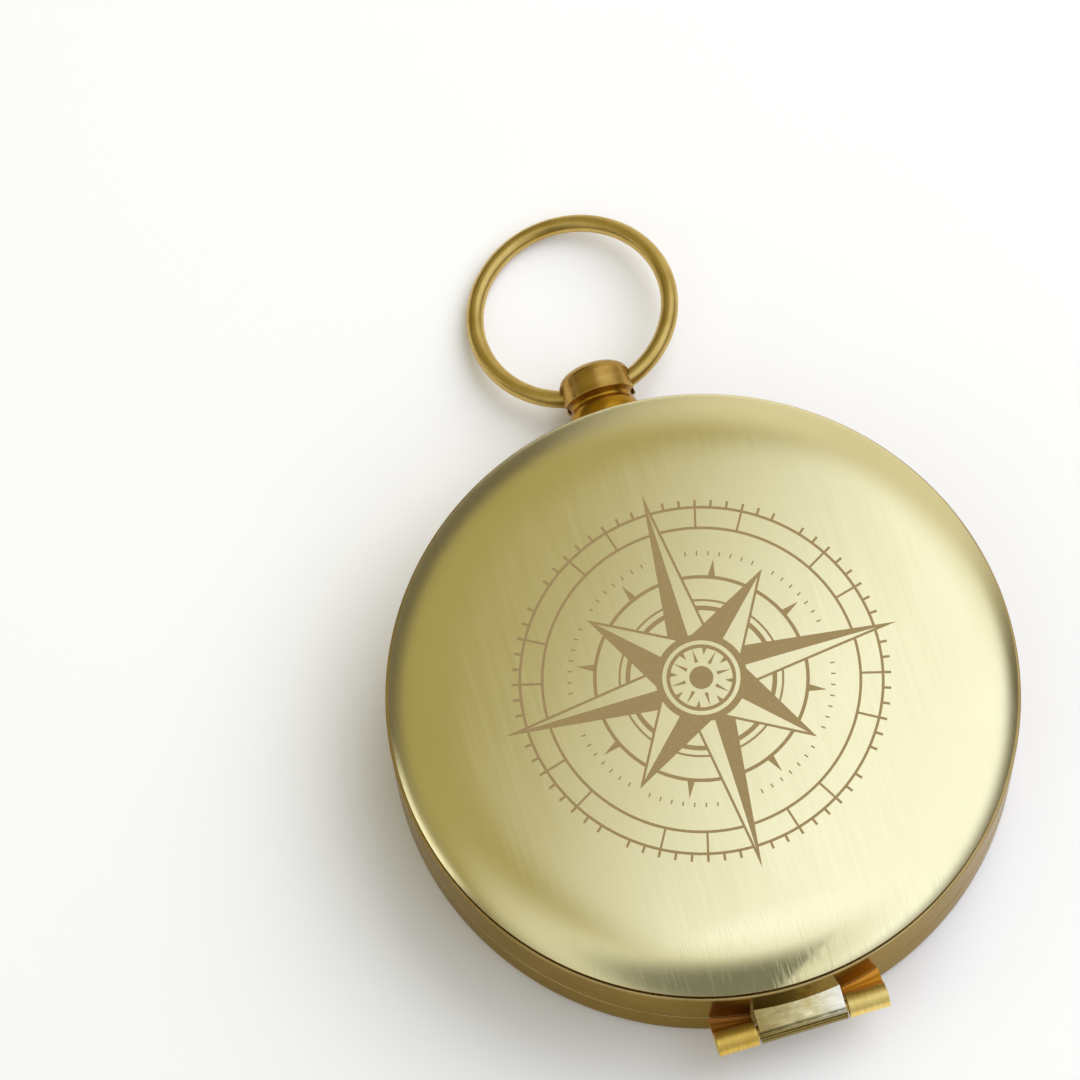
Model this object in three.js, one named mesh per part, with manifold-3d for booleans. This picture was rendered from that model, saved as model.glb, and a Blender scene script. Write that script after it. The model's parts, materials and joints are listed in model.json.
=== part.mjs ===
// Pocket compass in a round brass case with a hinged lid, a turning bezel and a carrying bow.
// Millimetres, +Z up. The origin is the centre of the case's flat underside.
// The bow stands at +Y and the lid's hinge at -Y.

import * as THREE from 'three';
import { mergeVertices } from 'three/addons/utils/BufferGeometryUtils.js';
import Module from 'manifold-3d';

const wasm = await Module();
wasm.setup();

// Clearances
const seat = 0.05; // between flat faces that lie on each other
const solder = 0.2; // between a curved wall and the piece fixed to it
const slip = 0.15; // round a pin or spigot in its hole
const run = 0.3; // between pieces that turn past each other

// Case
const caseRadius = 25;
const caseWall = 1.0;
const caseFloor = 0.8;
const caseHeight = 4.8; // from the table to the seam under the lid
const caseEdge = 1.4; // rounding of the bottom edge
const caseCorner = 0.6; // rounding inside, between floor and wall

// Turning bezel
const bezelRise = 4.8; // top of the bezel above the seam
const bezelWidth = 5.65; // of the clear plate, from its outer edge in to its bore
const bezelPlate = 1.0;
const bezelSkirt = 0.6;
const bezelOverlap = 0.5; // reach of the plate over the capsule's edge
const bezelFlange = 0.6; // thickness of the ring at the foot of the skirt
const bezelBead = 0.5; // depth of the snap bead inside the foot
const bezelBevel = 0.35;
const gripCount = 36;
const gripRadius = 0.75;
const gripProud = 0.55; // how far a grip stands out of the skirt
const scaleThickness = 0.35;

// Lid
const lidWall = 0.7;
const lidHeadroom = 0.35; // between the bezel and the seat in the lid
const lidSeat = 0.65; // thickness of the inner seat that carries the cover
const lidSeatWidth = 1.5;
const lidLedge = 0.1; // step left outside the cover's edge
const lidChamfer = 0.15;
const seamGap = 0.2;
const coverLip = 0.2; // straight edge of the cover before its shoulder
const coverShoulderWidth = 5;
const coverShoulderRise = 1.7;
const coverCrown = 0.4;
const coverSkin = 0.8;

// Capsule and dial
const capsuleWall = 0.9;
const windowThickness = 0.9;
const windowBevel = 0.5;
const stopRadius = 3.3; // ring under the window that keeps the needle on its pivot
const stopWidth = 0.6;
const stopDepth = 0.3;
const padInset = 3.3; // how far the pad stays inside the capsule's edge
const padThickness = 0.4;
const baseThickness = 0.7;
const cardThickness = 0.2;
const carrierFoot = 0.5;

// Pivot and needle
const pinRadius = 0.35;
const pinPoint = 1.0; // length of the pin's cone
const bushRadius = 1.6;
const bushRise = 0.9;
const bushWall = 0.3;
const needleGap = 2.9; // between the needle's tip and the capsule's wall
const tailShort = 1.3; // how much shorter the tail is than the tip
const needleThickness = 0.4;
const needleRoot = 1.0; // half width of the arms at the hub
const needleNeck = 0.5; // half width of the arms at their ends
const headLength = 2.6;
const headHalf = 1.4;
const lobeRadius = 0.65; // round ends of the needle's tail
const lobeSpread = 1.4;
const lumeLength = 1.5;
const lumeThickness = 0.12;
const hubRadius = 3.2;
const collarHeight = 0.65;
const collarStep = 0.1; // how far the collar stays inside the hub's edge
const jewelRadius = 1.95;
const jewelFlange = 2.6;
const jewelFoot = 0.3;
const jewelSteps = [0.45, 1.15]; // insets of the two steps on the jewel's top
const jewelStepRise = 0.22;
const jewelCone = 0.9; // half width of the socket's mouth
const needleHeading = 139.7; // degrees from +X to the needle's tip at rest

// Hinge
const hingeRadius = 1.0;
const hingeGap = 0.25; // between the barrel and the wall
const hingePinRadius = 0.5;
const knuckleCentre = 7.05;
const knuckleOuter = 3.3;
const knuckleGap = 0.2;
const leafThickness = 0.6;
const leafDrop = 0.2; // the case leaves stay this far under the seam
const leafRise = 0.35; // slope of the lid's leaf above the barrel's top

// Stem and bow
const stemDrop = 1.5; // from the seam down to the stem's axis
const flangeThickness = 0.8;
const stemFloorGap = 0.25; // between the flange and the table
const stemFit = 0.25; // between the flange and the wall
const coneStep = 0.15; // from the flange's edge in to the cone
const waistRadius = 2.5;
const coneLength = 1.75;
const flareLength = 0.4;
const bandLength = 1.9;
const domeLength = 1.25;
const bandEdge = 0.1;
const spigotRadius = 1.0;
const nutRadius = 1.5;
const nutLength = 1.0;
const stemTurn = 6.5; // degrees the screwed-in stem stands off level
const bowRadius = 8.15; // centre line of the wire
const wireRadius = 0.725;
const bowFloorGap = 0.05;

// Facets
const roundFacets = 60;
const innerFacets = 36;
const smallFacets = 20;

// Radii, from the outside in
const lidInner = caseRadius - lidWall;
const caseInner = caseRadius - caseWall;
const gripOuter = lidInner - run;
const bezelBody = gripOuter - gripProud;
const skirtInner = bezelBody - bezelSkirt;
const carrierOuter = skirtInner - run;
const beadInner = skirtInner - bezelBead;
const grooveRadius = beadInner - run;
const bezelBore = bezelBody - bezelWidth;
const capsuleRadius = bezelBore + bezelOverlap;
const carrierInner = capsuleRadius + run;
const capsuleInner = capsuleRadius - capsuleWall;
const dialRadius = capsuleInner - slip;
const padRadius = capsuleRadius - padInset;
const needleTip = capsuleInner - needleGap;
const needleTail = needleTip - tailShort;
const coverRadius = caseRadius - lidLedge;
const seatInner = lidInner - lidSeatWidth;
const pinHole = pinRadius + slip;
const shankRadius = pinHole + bushWall;
const dialHole = shankRadius + slip;
const hubBore = jewelRadius + slip;

// Heights, from the table up
const padBottom = caseFloor + seat;
const baseBottom = padBottom + padThickness + seat;
const baseTop = baseBottom + baseThickness;
const cardBottom = baseTop + seat;
const cardTop = cardBottom + cardThickness;
const bezelFoot = caseHeight + run;
const bezelTop = caseHeight + bezelRise;
const plateBottom = bezelTop - bezelPlate;
const scaleTop = plateBottom - seat;
const scaleBottom = scaleTop - scaleThickness;
const carrierTop = scaleBottom - run;
const windowTop = plateBottom - run;
const windowBottom = windowTop - windowThickness;
const jewelTop = windowBottom - stopDepth - run;
const collarTop = jewelTop - jewelStepRise;
const collarBottom = collarTop - collarHeight;
const bladeTop = collarBottom - seat;
const bladeBottom = bladeTop - needleThickness;
const jewelFlangeTop = bladeBottom - seat;
const jewelBottom = jewelFlangeTop - jewelFoot;
const socketTop = jewelBottom + jewelCone;
const pinTip = socketTop - run;
const lidFoot = caseHeight + seamGap;
const seatTop = bezelTop + lidHeadroom + lidSeat;
const coverBottom = seatTop + seat;
const shoulderFoot = coverBottom + coverLip;
const shoulderTop = shoulderFoot + coverShoulderRise;
const crownRadius = coverRadius - coverShoulderWidth;
const crownTop = shoulderTop + coverCrown;
const stemHeight = caseHeight - stemDrop;
const hingeY = -(caseRadius + hingeRadius + hingeGap);
const hingeZ = caseHeight;

const radians = THREE.MathUtils.degToRad;
const compass = new THREE.Group();

function finish(color, roughness, metalness, opacity = 1) {
  return new THREE.MeshStandardMaterial({
    color,
    roughness,
    metalness,
    opacity,
    transparent: opacity < 1,
  });
}

function add(group, name, geometry, material) {
  const mesh = new THREE.Mesh(geometry, material);
  mesh.name = name;
  group.add(mesh);
  return mesh;
}

// Turn a profile of [radius, height] pairs about the Z axis
function turned(profile, facets) {
  const points = profile.map(([r, z]) => new THREE.Vector2(r, z));
  return new THREE.LatheGeometry(points, facets).rotateX(Math.PI / 2);
}

// Turn a section that stays off the axis, closing it on itself
function turnedRing(profile, facets) {
  return turned([...profile, profile[0]], facets);
}

// A plain rod along Z between two heights
function rod(radius, bottom, top, facets) {
  const geometry = new THREE.CylinderGeometry(radius, radius, top - bottom, facets);
  geometry.rotateX(Math.PI / 2);
  return geometry.translate(0, 0, (bottom + top) / 2);
}

function extruded(shape, depth, curveSegments = 8) {
  return new THREE.ExtrudeGeometry(shape, { depth, bevelEnabled: false, curveSegments });
}

// Points of a quarter ellipse, from the end of its width to the end of its rise
function quarter(centreR, centreZ, width, rise, steps) {
  return Array.from({ length: steps + 1 }, (_, i) => {
    const angle = (i / steps) * Math.PI / 2;
    return [centreR + width * Math.cos(angle), centreZ + rise * Math.sin(angle)];
  });
}

function toSolid(geometry) {
  const plain = geometry.clone();
  plain.deleteAttribute('normal');
  plain.deleteAttribute('uv');
  const merged = mergeVertices(plain, 1e-4);
  const index = merged.index.array;
  const triangles = [];
  for (let i = 0; i < index.length; i += 3) {
    const [a, b, c] = [index[i], index[i + 1], index[i + 2]];
    if (a !== b && b !== c && c !== a) {
      triangles.push(a, b, c);
    }
  }
  return new wasm.Manifold(new wasm.Mesh({
    numProp: 3,
    vertProperties: new Float32Array(merged.attributes.position.array),
    triVerts: new Uint32Array(triangles),
  }));
}

function toGeometry(solid) {
  const { numProp, vertProperties, triVerts } = solid.getMesh();
  const geometry = new THREE.BufferGeometry();
  const positions = new Float32Array((vertProperties.length / numProp) * 3);
  for (let i = 0; i < positions.length / 3; i += 1) {
    positions.set(vertProperties.subarray(i * numProp, i * numProp + 3), i * 3);
  }
  geometry.setAttribute('position', new THREE.BufferAttribute(positions, 3));
  geometry.setIndex(new THREE.BufferAttribute(new Uint32Array(triVerts), 1));
  geometry.computeVertexNormals();
  return geometry;
}

function cut(geometry, ...tools) {
  return toGeometry(tools.reduce((solid, tool) => solid.subtract(toSolid(tool)), toSolid(geometry)));
}

function joined(geometry, ...others) {
  return toGeometry(others.reduce((solid, other) => solid.add(toSolid(other)), toSolid(geometry)));
}

// Case: a spun cup with a rounded bottom edge and a hole for the stem's spigot
const caseProfile = [
  [0, 0],
  ...quarter(caseRadius - caseEdge, caseEdge, caseEdge, -caseEdge, 4).reverse(),
  [caseRadius, caseHeight],
  [caseInner, caseHeight],
  ...quarter(caseInner - caseCorner, caseFloor + caseCorner, caseCorner, -caseCorner, 2),
  [0, caseFloor],
];
const stemHole = rod(spigotRadius + slip, caseInner - caseWall, caseRadius + caseWall, smallFacets);
stemHole.rotateX(-Math.PI / 2).translate(0, 0, stemHeight);
add(compass, 'case_cup', cut(turned(caseProfile, roundFacets), stemHole), finish(0xb59a4c, 0.28, 1));

// Foam pad that holds the capsule on the case's floor
add(compass, 'base_pad', turned([
  [0, padBottom],
  [padRadius, padBottom],
  [padRadius, padBottom + padThickness],
  [0, padBottom + padThickness],
], innerFacets), finish(0x3a3a38, 0.95, 0));

// Carrier: the fixed ring on which the bezel turns, with a groove for the snap bead
const carrierFootRadius = caseInner - caseCorner - solder;
const grooveBottom = bezelFoot - run;
const grooveTop = bezelFoot + bezelFlange + run;
add(compass, 'carrier_ring', turnedRing([
  [carrierInner, padBottom],
  [carrierFootRadius, padBottom],
  [carrierFootRadius, padBottom + carrierFoot],
  [carrierOuter, padBottom + carrierFoot],
  [carrierOuter, grooveBottom],
  [grooveRadius, grooveBottom],
  [grooveRadius, grooveTop],
  [carrierOuter, grooveTop],
  [carrierOuter, carrierTop],
  [carrierInner, carrierTop],
], innerFacets), finish(0xe6e2d2, 0.55, 0));

// Capsule: an opaque base and a clear cover with the window in one piece
add(compass, 'capsule_base', turnedRing([
  [dialHole, baseBottom],
  [capsuleRadius, baseBottom],
  [capsuleRadius, baseTop],
  [dialHole, baseTop],
], innerFacets), finish(0xddd8c4, 0.6, 0));

add(compass, 'capsule_cover', turned([
  [0, windowBottom],
  [stopRadius - stopWidth, windowBottom],
  [stopRadius - stopWidth, windowBottom - stopDepth],
  [stopRadius, windowBottom - stopDepth],
  [stopRadius, windowBottom],
  [capsuleInner, windowBottom],
  [capsuleInner, cardBottom],
  [capsuleRadius, cardBottom],
  [capsuleRadius, windowTop - windowBevel],
  [capsuleRadius - windowBevel, windowTop],
  [0, windowTop],
], innerFacets), finish(0xf2f6f2, 0.05, 0, 0.25));

add(compass, 'dial_card', turnedRing([
  [dialHole, cardBottom],
  [dialRadius, cardBottom],
  [dialRadius, cardTop],
  [dialHole, cardTop],
], innerFacets), finish(0xf3efa0, 0.7, 0));

// Pivot: a brass bush through the card and base, and the steel pin that stands in it
const bushBottom = cardTop + seat;
add(compass, 'pivot_bush', turnedRing([
  [pinHole, baseBottom],
  [shankRadius, baseBottom],
  [shankRadius, bushBottom],
  [bushRadius, bushBottom],
  [bushRadius, bushBottom + bushRise / 2],
  [shankRadius, bushBottom + bushRise],
  [pinHole, bushBottom + bushRise],
], smallFacets), finish(0xb08d3c, 0.35, 1));

add(compass, 'pivot_pin', turned([
  [0, baseBottom],
  [pinRadius, baseBottom],
  [pinRadius, pinTip - pinPoint],
  [0, pinTip],
], smallFacets), finish(0xb9bcc0, 0.25, 1));

// Hinge barrels are drawn in section: x runs from the barrel towards the case, y runs up
function hingeSection(outline) {
  const bore = new THREE.Path();
  bore.absarc(0, 0, hingePinRadius + slip, 0, Math.PI * 2, true);
  outline.holes.push(bore);
  return outline;
}

// Stand a section up along X, starting at the given x
function knuckle(section, start, length) {
  const toRow = new THREE.Matrix4().makeBasis(
    new THREE.Vector3(0, 1, 0),
    new THREE.Vector3(0, 0, 1),
    new THREE.Vector3(1, 0, 0),
  );
  const geometry = extruded(section, length, 10).applyMatrix4(toRow);
  return geometry.translate(start, hingeY, hingeZ);
}

const hingeHalf = knuckleCentre / 2 + knuckleGap + knuckleOuter;
const leafReach = hingeRadius + hingeGap + caseRadius - Math.sqrt(caseRadius ** 2 - hingeHalf ** 2);
const wallTool = rod(caseRadius + solder, -caseHeight, seatTop * 2, roundFacets);

// Case side: the barrel with a hollowed web that runs in to the wall under the seam
function caseSection() {
  const rise = radians(30);
  const outline = new THREE.Shape();
  outline.moveTo(0, -hingeRadius);
  outline.lineTo(leafReach, -hingeRadius);
  outline.lineTo(leafReach, -leafDrop);
  outline.quadraticCurveTo(
    hingeRadius,
    -leafDrop * 2,
    hingeRadius * Math.cos(rise),
    hingeRadius * Math.sin(rise),
  );
  outline.absarc(0, 0, hingeRadius, rise, Math.PI * 1.5, false);
  return hingeSection(outline);
}

// Lid side: a plate that slopes from the lid's wall on to the barrel and wraps round it
function lidSection() {
  const wrap = radians(100);
  const back = radians(25);
  const outline = new THREE.Shape();
  outline.moveTo(leafReach, hingeRadius + leafRise - leafThickness);
  outline.lineTo(leafReach, hingeRadius + leafRise);
  outline.lineTo(hingeRadius * Math.cos(wrap), hingeRadius * Math.sin(wrap));
  outline.absarc(0, 0, hingeRadius, wrap, Math.PI * 2 + back, false);
  return hingeSection(outline);
}

const outerStart = knuckleCentre / 2 + knuckleGap;
const barrelBrass = () => finish(0xc08a2a, 0.38, 1);
add(compass, 'hinge_knuckle_left', cut(knuckle(caseSection(), -hingeHalf, knuckleOuter), wallTool), barrelBrass());
add(compass, 'hinge_knuckle_right', cut(knuckle(caseSection(), outerStart, knuckleOuter), wallTool), barrelBrass());

const hingePin = rod(hingePinRadius, -hingeHalf, hingeHalf, smallFacets).rotateY(Math.PI / 2);
hingePin.translate(0, hingeY, hingeZ);
add(compass, 'hinge_pin', hingePin, finish(0x9a7a35, 0.4, 1));

// Lid: a ring with an inner seat, and a domed cover set on it inside a narrow ledge
const lid = new THREE.Group();
compass.add(lid);

add(lid, 'lid_ring', turnedRing([
  [lidInner, lidFoot],
  [caseRadius, lidFoot],
  [caseRadius, seatTop - lidChamfer],
  [caseRadius - lidChamfer, seatTop],
  [seatInner, seatTop],
  [seatInner, seatTop - lidSeat],
  [lidInner, seatTop - lidSeat],
], roundFacets), finish(0xb59a4c, 0.25, 1));

function crown(top, steps) {
  return Array.from({ length: steps }, (_, i) => {
    const share = 1 - (i + 1) / steps;
    return [crownRadius * share, top - coverCrown * share ** 2];
  });
}

const crownUnder = crownTop - coverSkin;
const innerRim = crownUnder - coverCrown;
add(lid, 'lid_cover', turned([
  ...crown(crownUnder, 3).reverse(),
  ...quarter(crownRadius, coverBottom, seatInner - crownRadius, innerRim - coverBottom, 3).reverse(),
  [coverRadius, coverBottom],
  ...quarter(crownRadius, shoulderFoot, coverShoulderWidth, coverShoulderRise, 6),
  ...crown(crownTop, 3),
], roundFacets), finish(0xc9b46a, 0.22, 1));

const lidLeaf = cut(knuckle(lidSection(), -knuckleCentre / 2, knuckleCentre), wallTool);
add(lid, 'hinge_knuckle_centre', lidLeaf, finish(0xd6b050, 0.25, 1));

// Bezel: a clear ring with a plate, a skirt with grips, and a bead that snaps under the carrier
const bezel = new THREE.Group();
compass.add(bezel);

const flangeTop = bezelFoot + bezelFlange;
const bezelRing = turnedRing([
  [beadInner, bezelFoot],
  [gripOuter, bezelFoot],
  [gripOuter, flangeTop],
  [bezelBody, flangeTop],
  [bezelBody, bezelTop - bezelBevel],
  [bezelBody - bezelBevel, bezelTop],
  [bezelBore + bezelBevel, bezelTop],
  [bezelBore, bezelTop - bezelBevel],
  [bezelBore, plateBottom],
  [skirtInner, plateBottom],
  [skirtInner, flangeTop],
  [beadInner, flangeTop - bezelFlange / 4],
], roundFacets);
const grips = Array.from({ length: gripCount }, (_, i) => {
  const grip = rod(gripRadius, bezelFoot + bezelFlange / 2, bezelTop - bezelBevel, 8);
  grip.translate(gripOuter - gripRadius, 0, 0);
  return grip.rotateZ((i + 0.5) * Math.PI * 2 / gripCount);
});
const gripRow = cut(joined(...grips), rod(skirtInner, 0, plateBottom, roundFacets));
add(bezel, 'bezel_ring', joined(bezelRing, gripRow), finish(0xf4f4ec, 0.08, 0, 0.3));

add(bezel, 'bezel_scale', turnedRing([
  [carrierInner, scaleBottom],
  [skirtInner - run, scaleBottom],
  [skirtInner - run, scaleTop],
  [carrierInner, scaleTop],
], roundFacets), finish(0xf1eed6, 0.7, 0));

// Needle: a flat steel blade clamped on the jewel by a collar
const needle = new THREE.Group();
needle.rotation.z = radians(needleHeading);
compass.add(needle);

function arm(reach) {
  const outline = new THREE.Shape();
  outline.moveTo(0, -needleRoot);
  outline.lineTo(reach, -needleNeck);
  outline.lineTo(reach, needleNeck);
  outline.lineTo(0, needleRoot);
  return extruded(outline, needleThickness).translate(0, 0, bladeBottom);
}

function arrowHead() {
  const outline = new THREE.Shape();
  outline.moveTo(needleTip, 0);
  outline.quadraticCurveTo(needleTip - headLength / 2, headHalf * 0.45, needleTip - headLength, headHalf);
  outline.quadraticCurveTo(needleTip - headLength * 0.8, 0, needleTip - headLength, -headHalf);
  outline.quadraticCurveTo(needleTip - headLength / 2, -headHalf * 0.45, needleTip, 0);
  return extruded(outline, needleThickness).translate(0, 0, bladeBottom);
}

// Crossbar of the tail, bowed outwards, with a round lobe at each end
function tailBar() {
  const outline = new THREE.Shape();
  const lobeX = -needleTail + lobeRadius;
  outline.moveTo(lobeX - needleNeck * 0.6, -lobeSpread);
  outline.lineTo(lobeX + needleNeck, -lobeSpread);
  outline.quadraticCurveTo(lobeX + needleNeck * 3, 0, lobeX + needleNeck, lobeSpread);
  outline.lineTo(lobeX - needleNeck * 0.6, lobeSpread);
  outline.quadraticCurveTo(lobeX + needleNeck, 0, lobeX - needleNeck * 0.6, -lobeSpread);
  return extruded(outline, needleThickness).translate(0, 0, bladeBottom);
}

function lobe(side) {
  const geometry = rod(lobeRadius, bladeBottom, bladeTop, 14);
  return geometry.translate(-needleTail + lobeRadius, side * lobeSpread, 0);
}

const blade = joined(
  rod(hubRadius, bladeBottom, bladeTop, innerFacets),
  arm(needleTip - headLength * 0.8),
  arm(needleTail - lobeRadius - needleNeck).rotateZ(Math.PI),
  arrowHead(),
  tailBar(),
  lobe(1),
  lobe(-1),
);
add(needle, 'needle_blade', cut(blade, rod(hubBore, 0, windowTop, innerFacets)), finish(0x151515, 0.45, 0.6));

add(needle, 'needle_jewel', turned([
  [0, socketTop],
  [jewelCone, jewelBottom],
  [jewelFlange, jewelBottom],
  [jewelFlange, jewelFlangeTop],
  [jewelRadius, jewelFlangeTop],
  [jewelRadius, collarTop - jewelStepRise],
  [jewelRadius - jewelSteps[0], collarTop - jewelStepRise],
  [jewelRadius - jewelSteps[0], collarTop],
  [jewelRadius - jewelSteps[1], collarTop],
  [jewelRadius - jewelSteps[1], jewelTop],
  [0, jewelTop],
], smallFacets), finish(0xdfe3e3, 0.15, 0.1));

add(needle, 'needle_collar', turnedRing([
  [hubBore, collarBottom],
  [hubRadius - collarStep, collarBottom],
  [hubRadius - collarStep, collarTop - collarHeight / 3],
  [hubRadius - collarStep - collarHeight / 3, collarTop],
  [hubBore, collarTop],
], smallFacets), finish(0x181818, 0.4, 0.2));

const lumeOutline = new THREE.Shape();
const lumeEnd = needleTip - headLength * 0.55;
lumeOutline.moveTo(lumeEnd - lumeLength, -needleNeck * 0.8);
lumeOutline.lineTo(lumeEnd, -needleNeck * 1.1);
lumeOutline.lineTo(lumeEnd, needleNeck * 1.1);
lumeOutline.lineTo(lumeEnd - lumeLength, needleNeck * 0.8);
const lume = extruded(lumeOutline, lumeThickness).translate(0, 0, bladeTop + seat);
add(needle, 'needle_lume', lume, finish(0xcfd2c4, 0.7, 0));

// Stem: turned in one piece with its spigot, with a cross hole for the bow, held by a nut inside
const flangeStart = caseRadius + stemFit;
const coneStart = flangeStart + flangeThickness;
const waist = coneStart + coneLength;
const bandStart = waist + flareLength;
const bandEnd = bandStart + bandLength;
const bowHole = (bandStart + bandEnd) / 2;
const flangeRadius = stemHeight - stemFloorGap;
const ballRadius = flangeRadius;
const coneRadius = flangeRadius - coneStep;
const nutEnd = caseInner - slip - nutRadius ** 2 / (2 * caseInner);
const nutStart = nutEnd - nutLength;

// The wire bends through the straight hole, so half its rise there lies on each side of the axis
const wireRise = bowRadius - Math.sqrt(bowRadius ** 2 - ballRadius ** 2);
const bowCentre = bowRadius - wireRise / 2;
const holeRadius = wireRadius + wireRise / 2 + slip;

const stem = new THREE.Group();
stem.position.set(0, bowHole, stemHeight);
stem.rotation.y = -radians(stemTurn);
compass.add(stem);

const stemProfile = [
  [0, nutStart],
  [spigotRadius, nutStart],
  [spigotRadius, flangeStart],
  [flangeRadius - bandEdge, flangeStart],
  [flangeRadius, flangeStart + bandEdge],
  [flangeRadius, coneStart - bandEdge],
  [flangeRadius - bandEdge, coneStart],
  [coneRadius, coneStart],
  [waistRadius, waist],
  ...quarter(ballRadius - bandEdge, waist, waistRadius - ballRadius + bandEdge, flareLength, 4).slice(1),
  [ballRadius, bandStart + bandEdge],
  [ballRadius, bandEnd - bandEdge],
  ...quarter(0, bandEnd, ballRadius - bandEdge, domeLength, 5),
].map(([r, y]) => new THREE.Vector2(r, y - bowHole));
const crossHole = rod(holeRadius, -ballRadius * 2, ballRadius * 2, smallFacets).rotateY(Math.PI / 2);
const stemBody = cut(new THREE.LatheGeometry(stemProfile, smallFacets), crossHole);
add(stem, 'bow_stem', stemBody, finish(0xb8892f, 0.4, 1));

const nut = new THREE.CylinderGeometry(nutRadius, nutRadius, nutLength, 6);
const nutHole = new THREE.CylinderGeometry(spigotRadius + slip, spigotRadius + slip, nutLength * 2, smallFacets);
const nutBody = cut(nut, nutHole).translate(0, (nutStart + nutEnd) / 2, stemHeight);
add(compass, 'stem_nut', nutBody, finish(0xa9853a, 0.45, 1));

// Bow: a wire ring that hangs in the cross hole and lies down until it meets the table
function bowLowest(droop) {
  const fall = Math.sin(droop) * Math.cos(radians(stemTurn));
  const slope = Math.hypot(fall, Math.sin(radians(stemTurn)));
  return stemHeight - bowCentre * fall - bowRadius * slope - wireRadius;
}

function bowDroop() {
  let [low, high] = [0, Math.PI / 3];
  for (let i = 0; i < 40; i += 1) {
    const middle = (low + high) / 2;
    if (bowLowest(middle) > bowFloorGap) {
      low = middle;
    } else {
      high = middle;
    }
  }
  return low;
}

const bow = new THREE.Group();
bow.rotation.x = -bowDroop();
stem.add(bow);
const bowRing = new THREE.TorusGeometry(bowRadius, wireRadius, 10, 40).translate(0, bowCentre, 0);
add(bow, 'bow_ring', bowRing, finish(0xc09a3a, 0.35, 1));

export default compass;
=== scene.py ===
import json
import math

import bmesh
import bpy
import numpy as np
from mathutils import Matrix, Vector


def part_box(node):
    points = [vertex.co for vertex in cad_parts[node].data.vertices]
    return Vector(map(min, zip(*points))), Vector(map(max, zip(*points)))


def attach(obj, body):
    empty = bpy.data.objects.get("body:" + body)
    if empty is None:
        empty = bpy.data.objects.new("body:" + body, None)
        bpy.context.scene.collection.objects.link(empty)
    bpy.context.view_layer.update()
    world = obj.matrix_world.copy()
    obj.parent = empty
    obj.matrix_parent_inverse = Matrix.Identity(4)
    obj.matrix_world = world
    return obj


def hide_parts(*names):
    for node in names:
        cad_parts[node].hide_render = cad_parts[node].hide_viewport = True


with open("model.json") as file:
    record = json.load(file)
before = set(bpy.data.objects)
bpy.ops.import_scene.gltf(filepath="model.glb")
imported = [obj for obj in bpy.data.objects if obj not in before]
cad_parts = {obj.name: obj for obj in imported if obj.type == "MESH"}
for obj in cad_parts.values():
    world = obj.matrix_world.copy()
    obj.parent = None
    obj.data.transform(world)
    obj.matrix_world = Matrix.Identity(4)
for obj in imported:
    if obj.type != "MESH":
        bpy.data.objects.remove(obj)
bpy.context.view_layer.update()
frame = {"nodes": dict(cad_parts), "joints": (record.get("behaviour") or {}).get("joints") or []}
mm = 0.001  # shapes are worked out in millimetres and put into the mesh in metres


# Lowest and highest corner of a CAD node, in millimetres
def span(node):
    low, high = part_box(node)
    return np.array(low) / mm, np.array(high) / mm


# The frame's joint that has a name
def jointNamed(name):
    return next(joint for joint in frame["joints"] if joint["name"] == name)


print("frame loaded:", len(frame["nodes"]), "nodes")

# Shapes on grids
cornerShare = 0.49  # most of a stretch that the rounding of one corner takes


# Corners of a profile rounded: each becomes a quadratic curve that starts and ends its reach from the corner
def roundCorners(points, reaches, closed=True, steps=7):
    corner = np.asarray(points, float)
    ahead = np.roll(corner, -1, 0) - corner
    behind = np.roll(corner, 1, 0) - corner
    aheadLength = np.linalg.norm(ahead, axis=1, keepdims=True)
    behindLength = np.linalg.norm(behind, axis=1, keepdims=True)
    limit = cornerShare * np.minimum(aheadLength, behindLength)
    reach = np.minimum(np.asarray(reaches, float)[:, None], limit)
    start = corner + behind / behindLength * reach
    end = corner + ahead / aheadLength * reach
    t = np.linspace(0, 1, steps)[None, :, None]
    curve = (1 - t) ** 2 * start[:, None] + 2 * t * (1 - t) * corner[:, None] + t ** 2 * end[:, None]
    if not closed:
        curve[0], curve[-1] = corner[0], corner[-1]
    return curve.reshape(-1, 2)


# Corners of a stepped section: from the first corner on, radius and height take turns to change
def stepCorners(*values):
    pairs = zip(values, values[1:])
    return [pair if turn % 2 == 0 else pair[::-1] for turn, pair in enumerate(pairs)]


# Points added along a profile, evenly in each stretch, so that none is further than spacing from the next
def refine(profile, spacing, closed=True):
    start = profile if closed else profile[:-1]
    stretch = (np.roll(profile, -1, 0) - profile)[:len(start)]
    counts = np.maximum(1, np.ceil(np.linalg.norm(stretch, axis=1) / spacing)).astype(int)
    which = np.repeat(np.arange(len(counts)), counts)
    share = (np.arange(counts.sum()) - np.repeat(np.cumsum(counts) - counts, counts)) / counts[which]
    points = start[which] + stretch[which] * share[:, None]
    return points if closed else np.vstack([points, profile[-1:]])


# A grid of points as vertices and faces: four neighbours in rows and columns make a face
def gridPart(grid, closeRows=False, closeColumns=False):
    rows, columns = grid.shape[:2]
    index = np.arange(rows * columns).reshape(rows, columns)
    if closeRows:
        index = np.concatenate([index, index[:1]], 0)
    if closeColumns:
        index = np.concatenate([index, index[:, :1]], 1)
    quads = np.stack([index[:-1, :-1], index[:-1, 1:], index[1:, 1:], index[1:, :-1]], -1)
    return grid.reshape(-1, 3), quads.reshape(-1, 4)


# Points about Z: x is radius times cosine of the angle, y is radius times its sine
def aboutZ(radius, angle, height):
    return np.stack([radius * np.cos(angle), radius * np.sin(angle), height + 0 * angle], -1)


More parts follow.
